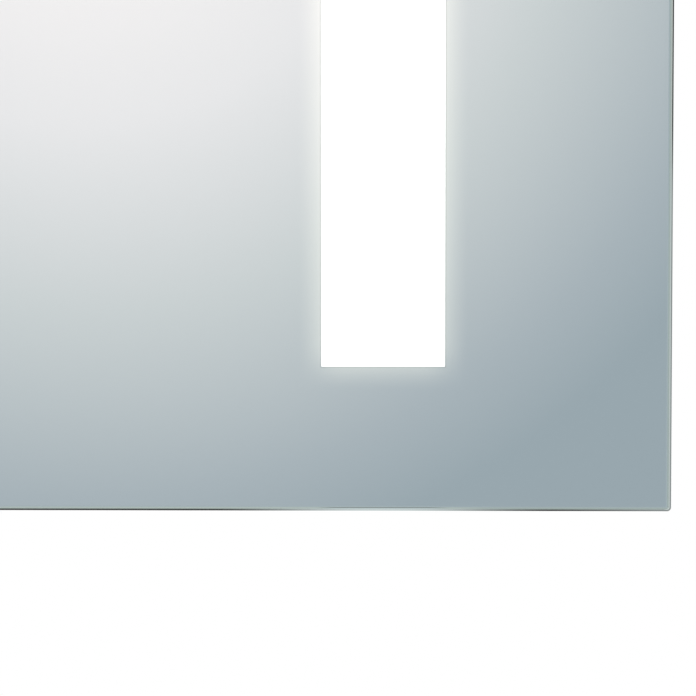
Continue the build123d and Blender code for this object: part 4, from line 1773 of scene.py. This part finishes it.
@dataclass
class CabinetBox:
    """The box on the wall: frame, back, catches and buffers."""

    buffer_segments: int = 32
    buffer_profile: tuple[Span, ...] = (
        (0.35, 0.985),
        (0.62, 0.92),
        (0.8, 0.8),
        (0.92, 0.6),
        (0.99, 0.3),
        (1.0, 0.0),
    )

    def build_buffers(self) -> None:
        """Make the domed buffers at the opening side."""
        low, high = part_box("door_buffers")
        radius = (high.x - low.x) / 2
        height = high.y - low.y
        shape = bmesh.new()
        for z in (low.z + radius, high.z - radius):
            seat = Matrix.Translation(Vector(((low.x + high.x) / 2, high.y, z)))
            place = seat @ Matrix.Rotation(math.pi / 2, 4, "X")
            rings = []
            for share, rise in self.buffer_profile:
                rings.append(round_ring(shape, place, radius * share, height * rise, self.buffer_segments))
            tip = shape.verts.new(place @ Vector((0.0, 0.0, height)))
            for corner, after in zip(rings[0], rings[0][1:] + rings[0][:1]):
                shape.faces.new((tip, after, corner))
            for inner, outer in zip(rings, rings[1:]):
                join_rings(shape, inner, outer)
            shape.faces.new(rings[-1])
        finishes = (Finishes.clear_plastic,)
        piece = new_piece("buffer_domes", shape, Body.CABINET, finishes, smooth=True)
        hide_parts("door_buffers")

    def build(self) -> None:
        """Build and dress the box."""
        dress(Finishes.anodised_upright, "body_side_left", "body_side_right")
        dress(Finishes.anodised_level, "body_bottom", "body_top")
        dress(Finishes.key_metal, "body_corner_keys")
        dress(Finishes.galvanised, "back_panel", "service_brackets")
        dress(Finishes.inner_mirror, "back_mirror")
        dress(Finishes.black_plastic, "supply_bushing")
        dress(Finishes.grey_plastic, "lead_gland_body", "catch_holders")
        dress(Finishes.magnet, "catch_magnets")
        self.build_buffers()


@dataclass
class Shelving:
    """The three glass shelves on their clips."""

    def build(self) -> None:
        """Dress the shelves, the clips and the pads."""
        dress(Finishes.shelf_glass, "shelf_lower", "shelf_middle", "shelf_upper")
        dress(Finishes.clip_chrome, "shelf_clips")
        dress(Finishes.clear_plastic, "shelf_pads")


@dataclass
class RockerPaddle:
    """The rocker of the switch, with its dished face, thrown to its upper side."""

    half_width: float = 0.00475
    half_height: float = 0.0076
    front: float = 0.0054
    hollow: float = 0.0009
    back: float = 0.0022
    tilt: float = 7.0
    dish_steps: int = 10
    eased_width: float = 0.0004
    eased_segments: int = 3
    eased_angle: float = 40.0

    def outline(self) -> list[Span]:
        """Give the paddle's outline, seen from its side.

        Returns:
            The depth and the height of each corner, measured from the pivot.
        """
        corners = []
        for step in range(self.dish_steps + 1):
            share = step / self.dish_steps * 2 - 1
            dish = self.hollow * (1 - share * share)
            corners.append((-self.front + dish, share * self.half_height))
        corners += [
            (0.0, self.half_height),
            (self.back, self.half_height / 2),
            (self.back, -self.half_height / 2),
            (0.0, -self.half_height),
        ]
        return corners

    def build(self) -> None:
        """Make the paddle and ease its edges."""
        shape = bmesh.new()
        pivot = joint_place("rocker_tilt")
        turn = Matrix.Rotation(math.radians(-self.tilt), 4, "X")
        ends = []
        for x in (-self.half_width, self.half_width):
            ends.append([shape.verts.new(pivot + turn @ Vector((x, y, z))) for y, z in self.outline()])
        join_rings(shape, *ends)
        shape.faces.new(ends[0])
        shape.faces.new(list(reversed(ends[1])))
        finishes = (Finishes.white_plastic,)
        piece = new_piece("rocker_paddle", shape, Body.ROCKER, finishes, smooth=True)
        eased = piece.modifiers.new("eased", "BEVEL")
        eased.width = self.eased_width
        eased.segments = self.eased_segments
        eased.limit_method = "ANGLE"
        eased.angle_limit = math.radians(self.eased_angle)
        eased.harden_normals = True
        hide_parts("switch_rocker")


@dataclass
class ServiceBay:
    """The compartment across the top: cover, outlet, switch, driver and terminals."""

    cover_head: ScrewHead = ScrewHead(radius=0.0028, proud=0.0012, floor=0.0003, recess=0.55)
    cover_rolls: Span = (0.4, 1.4)
    small_head: ScrewHead = ScrewHead(radius=0.0025, proud=0.0011, floor=0.0003, recess=0.58)
    driver_inset: float = 0.006
    driver_flange: float = 0.002
    driver_rolls: Span = (0.0, 0.9)
    terminal_ways: int = 3
    terminal_rise: float = 0.003
    terminal_roll_step: float = 0.3

    def build_cover_screws(self) -> None:
        """Make the two screws of the cover."""
        low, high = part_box("cover_screws")
        head = self.cover_head
        shape = bmesh.new()
        for x, roll in zip((low.x + head.radius, high.x - head.radius), self.cover_rolls):
            seat = (x, low.y + head.proud, (low.z + high.z) / 2)
            head.add(shape, facing(TO_FRONT, seat, roll))
        piece = screw_piece("cover_screw_heads", shape, Body.CABINET)
        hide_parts("cover_screws")

    def build_bay_screws(self) -> None:
        """Make the screws of the driver and the terminals."""
        shape = bmesh.new()
        low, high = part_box("led_driver")
        for x, roll in zip((low.x + self.driver_inset, high.x - self.driver_inset), self.driver_rolls):
            seat = (x, (low.y + high.y) / 2, high.z - self.driver_flange)
            self.small_head.add(shape, facing(DOWN, seat, roll))
        low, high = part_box("terminal_block")
        pitch = (high.x - low.x) / self.terminal_ways
        for way in range(self.terminal_ways):
            seat = (low.x + (way + 0.5) * pitch, low.y, (low.z + high.z) / 2 + self.terminal_rise)
            self.small_head.add(shape, facing(TO_FRONT, seat, self.terminal_roll_step * way))
        screw_piece("bay_screws", shape, Body.CABINET)

    def build(self) -> None:
        """Build and dress the bay."""
        dress(Finishes.white_steel, "service_cover")
        dress(Finishes.driver_case, "led_driver")
        dress(Finishes.grey_plastic, "terminal_block")
        dress(Finishes.white_plastic, "power_outlet", "switch_housing")
        RockerPaddle().build()
        self.build_cover_screws()
        self.build_bay_screws()


def main() -> None:
    """Build the scene."""
    logging.basicConfig(level=logging.INFO, format="%(message)s")
    settings = bpy.context.scene.view_settings
    settings.view_transform = "Standard"
    StudioCamera().build()
    StudioRoom().build()
    MirrorDoor().build()
    ContinuousHinge().build()
    CabinetBox().build()
    Shelving().build()
    ServiceBay().build()


if __name__ == "__main__":
    main()
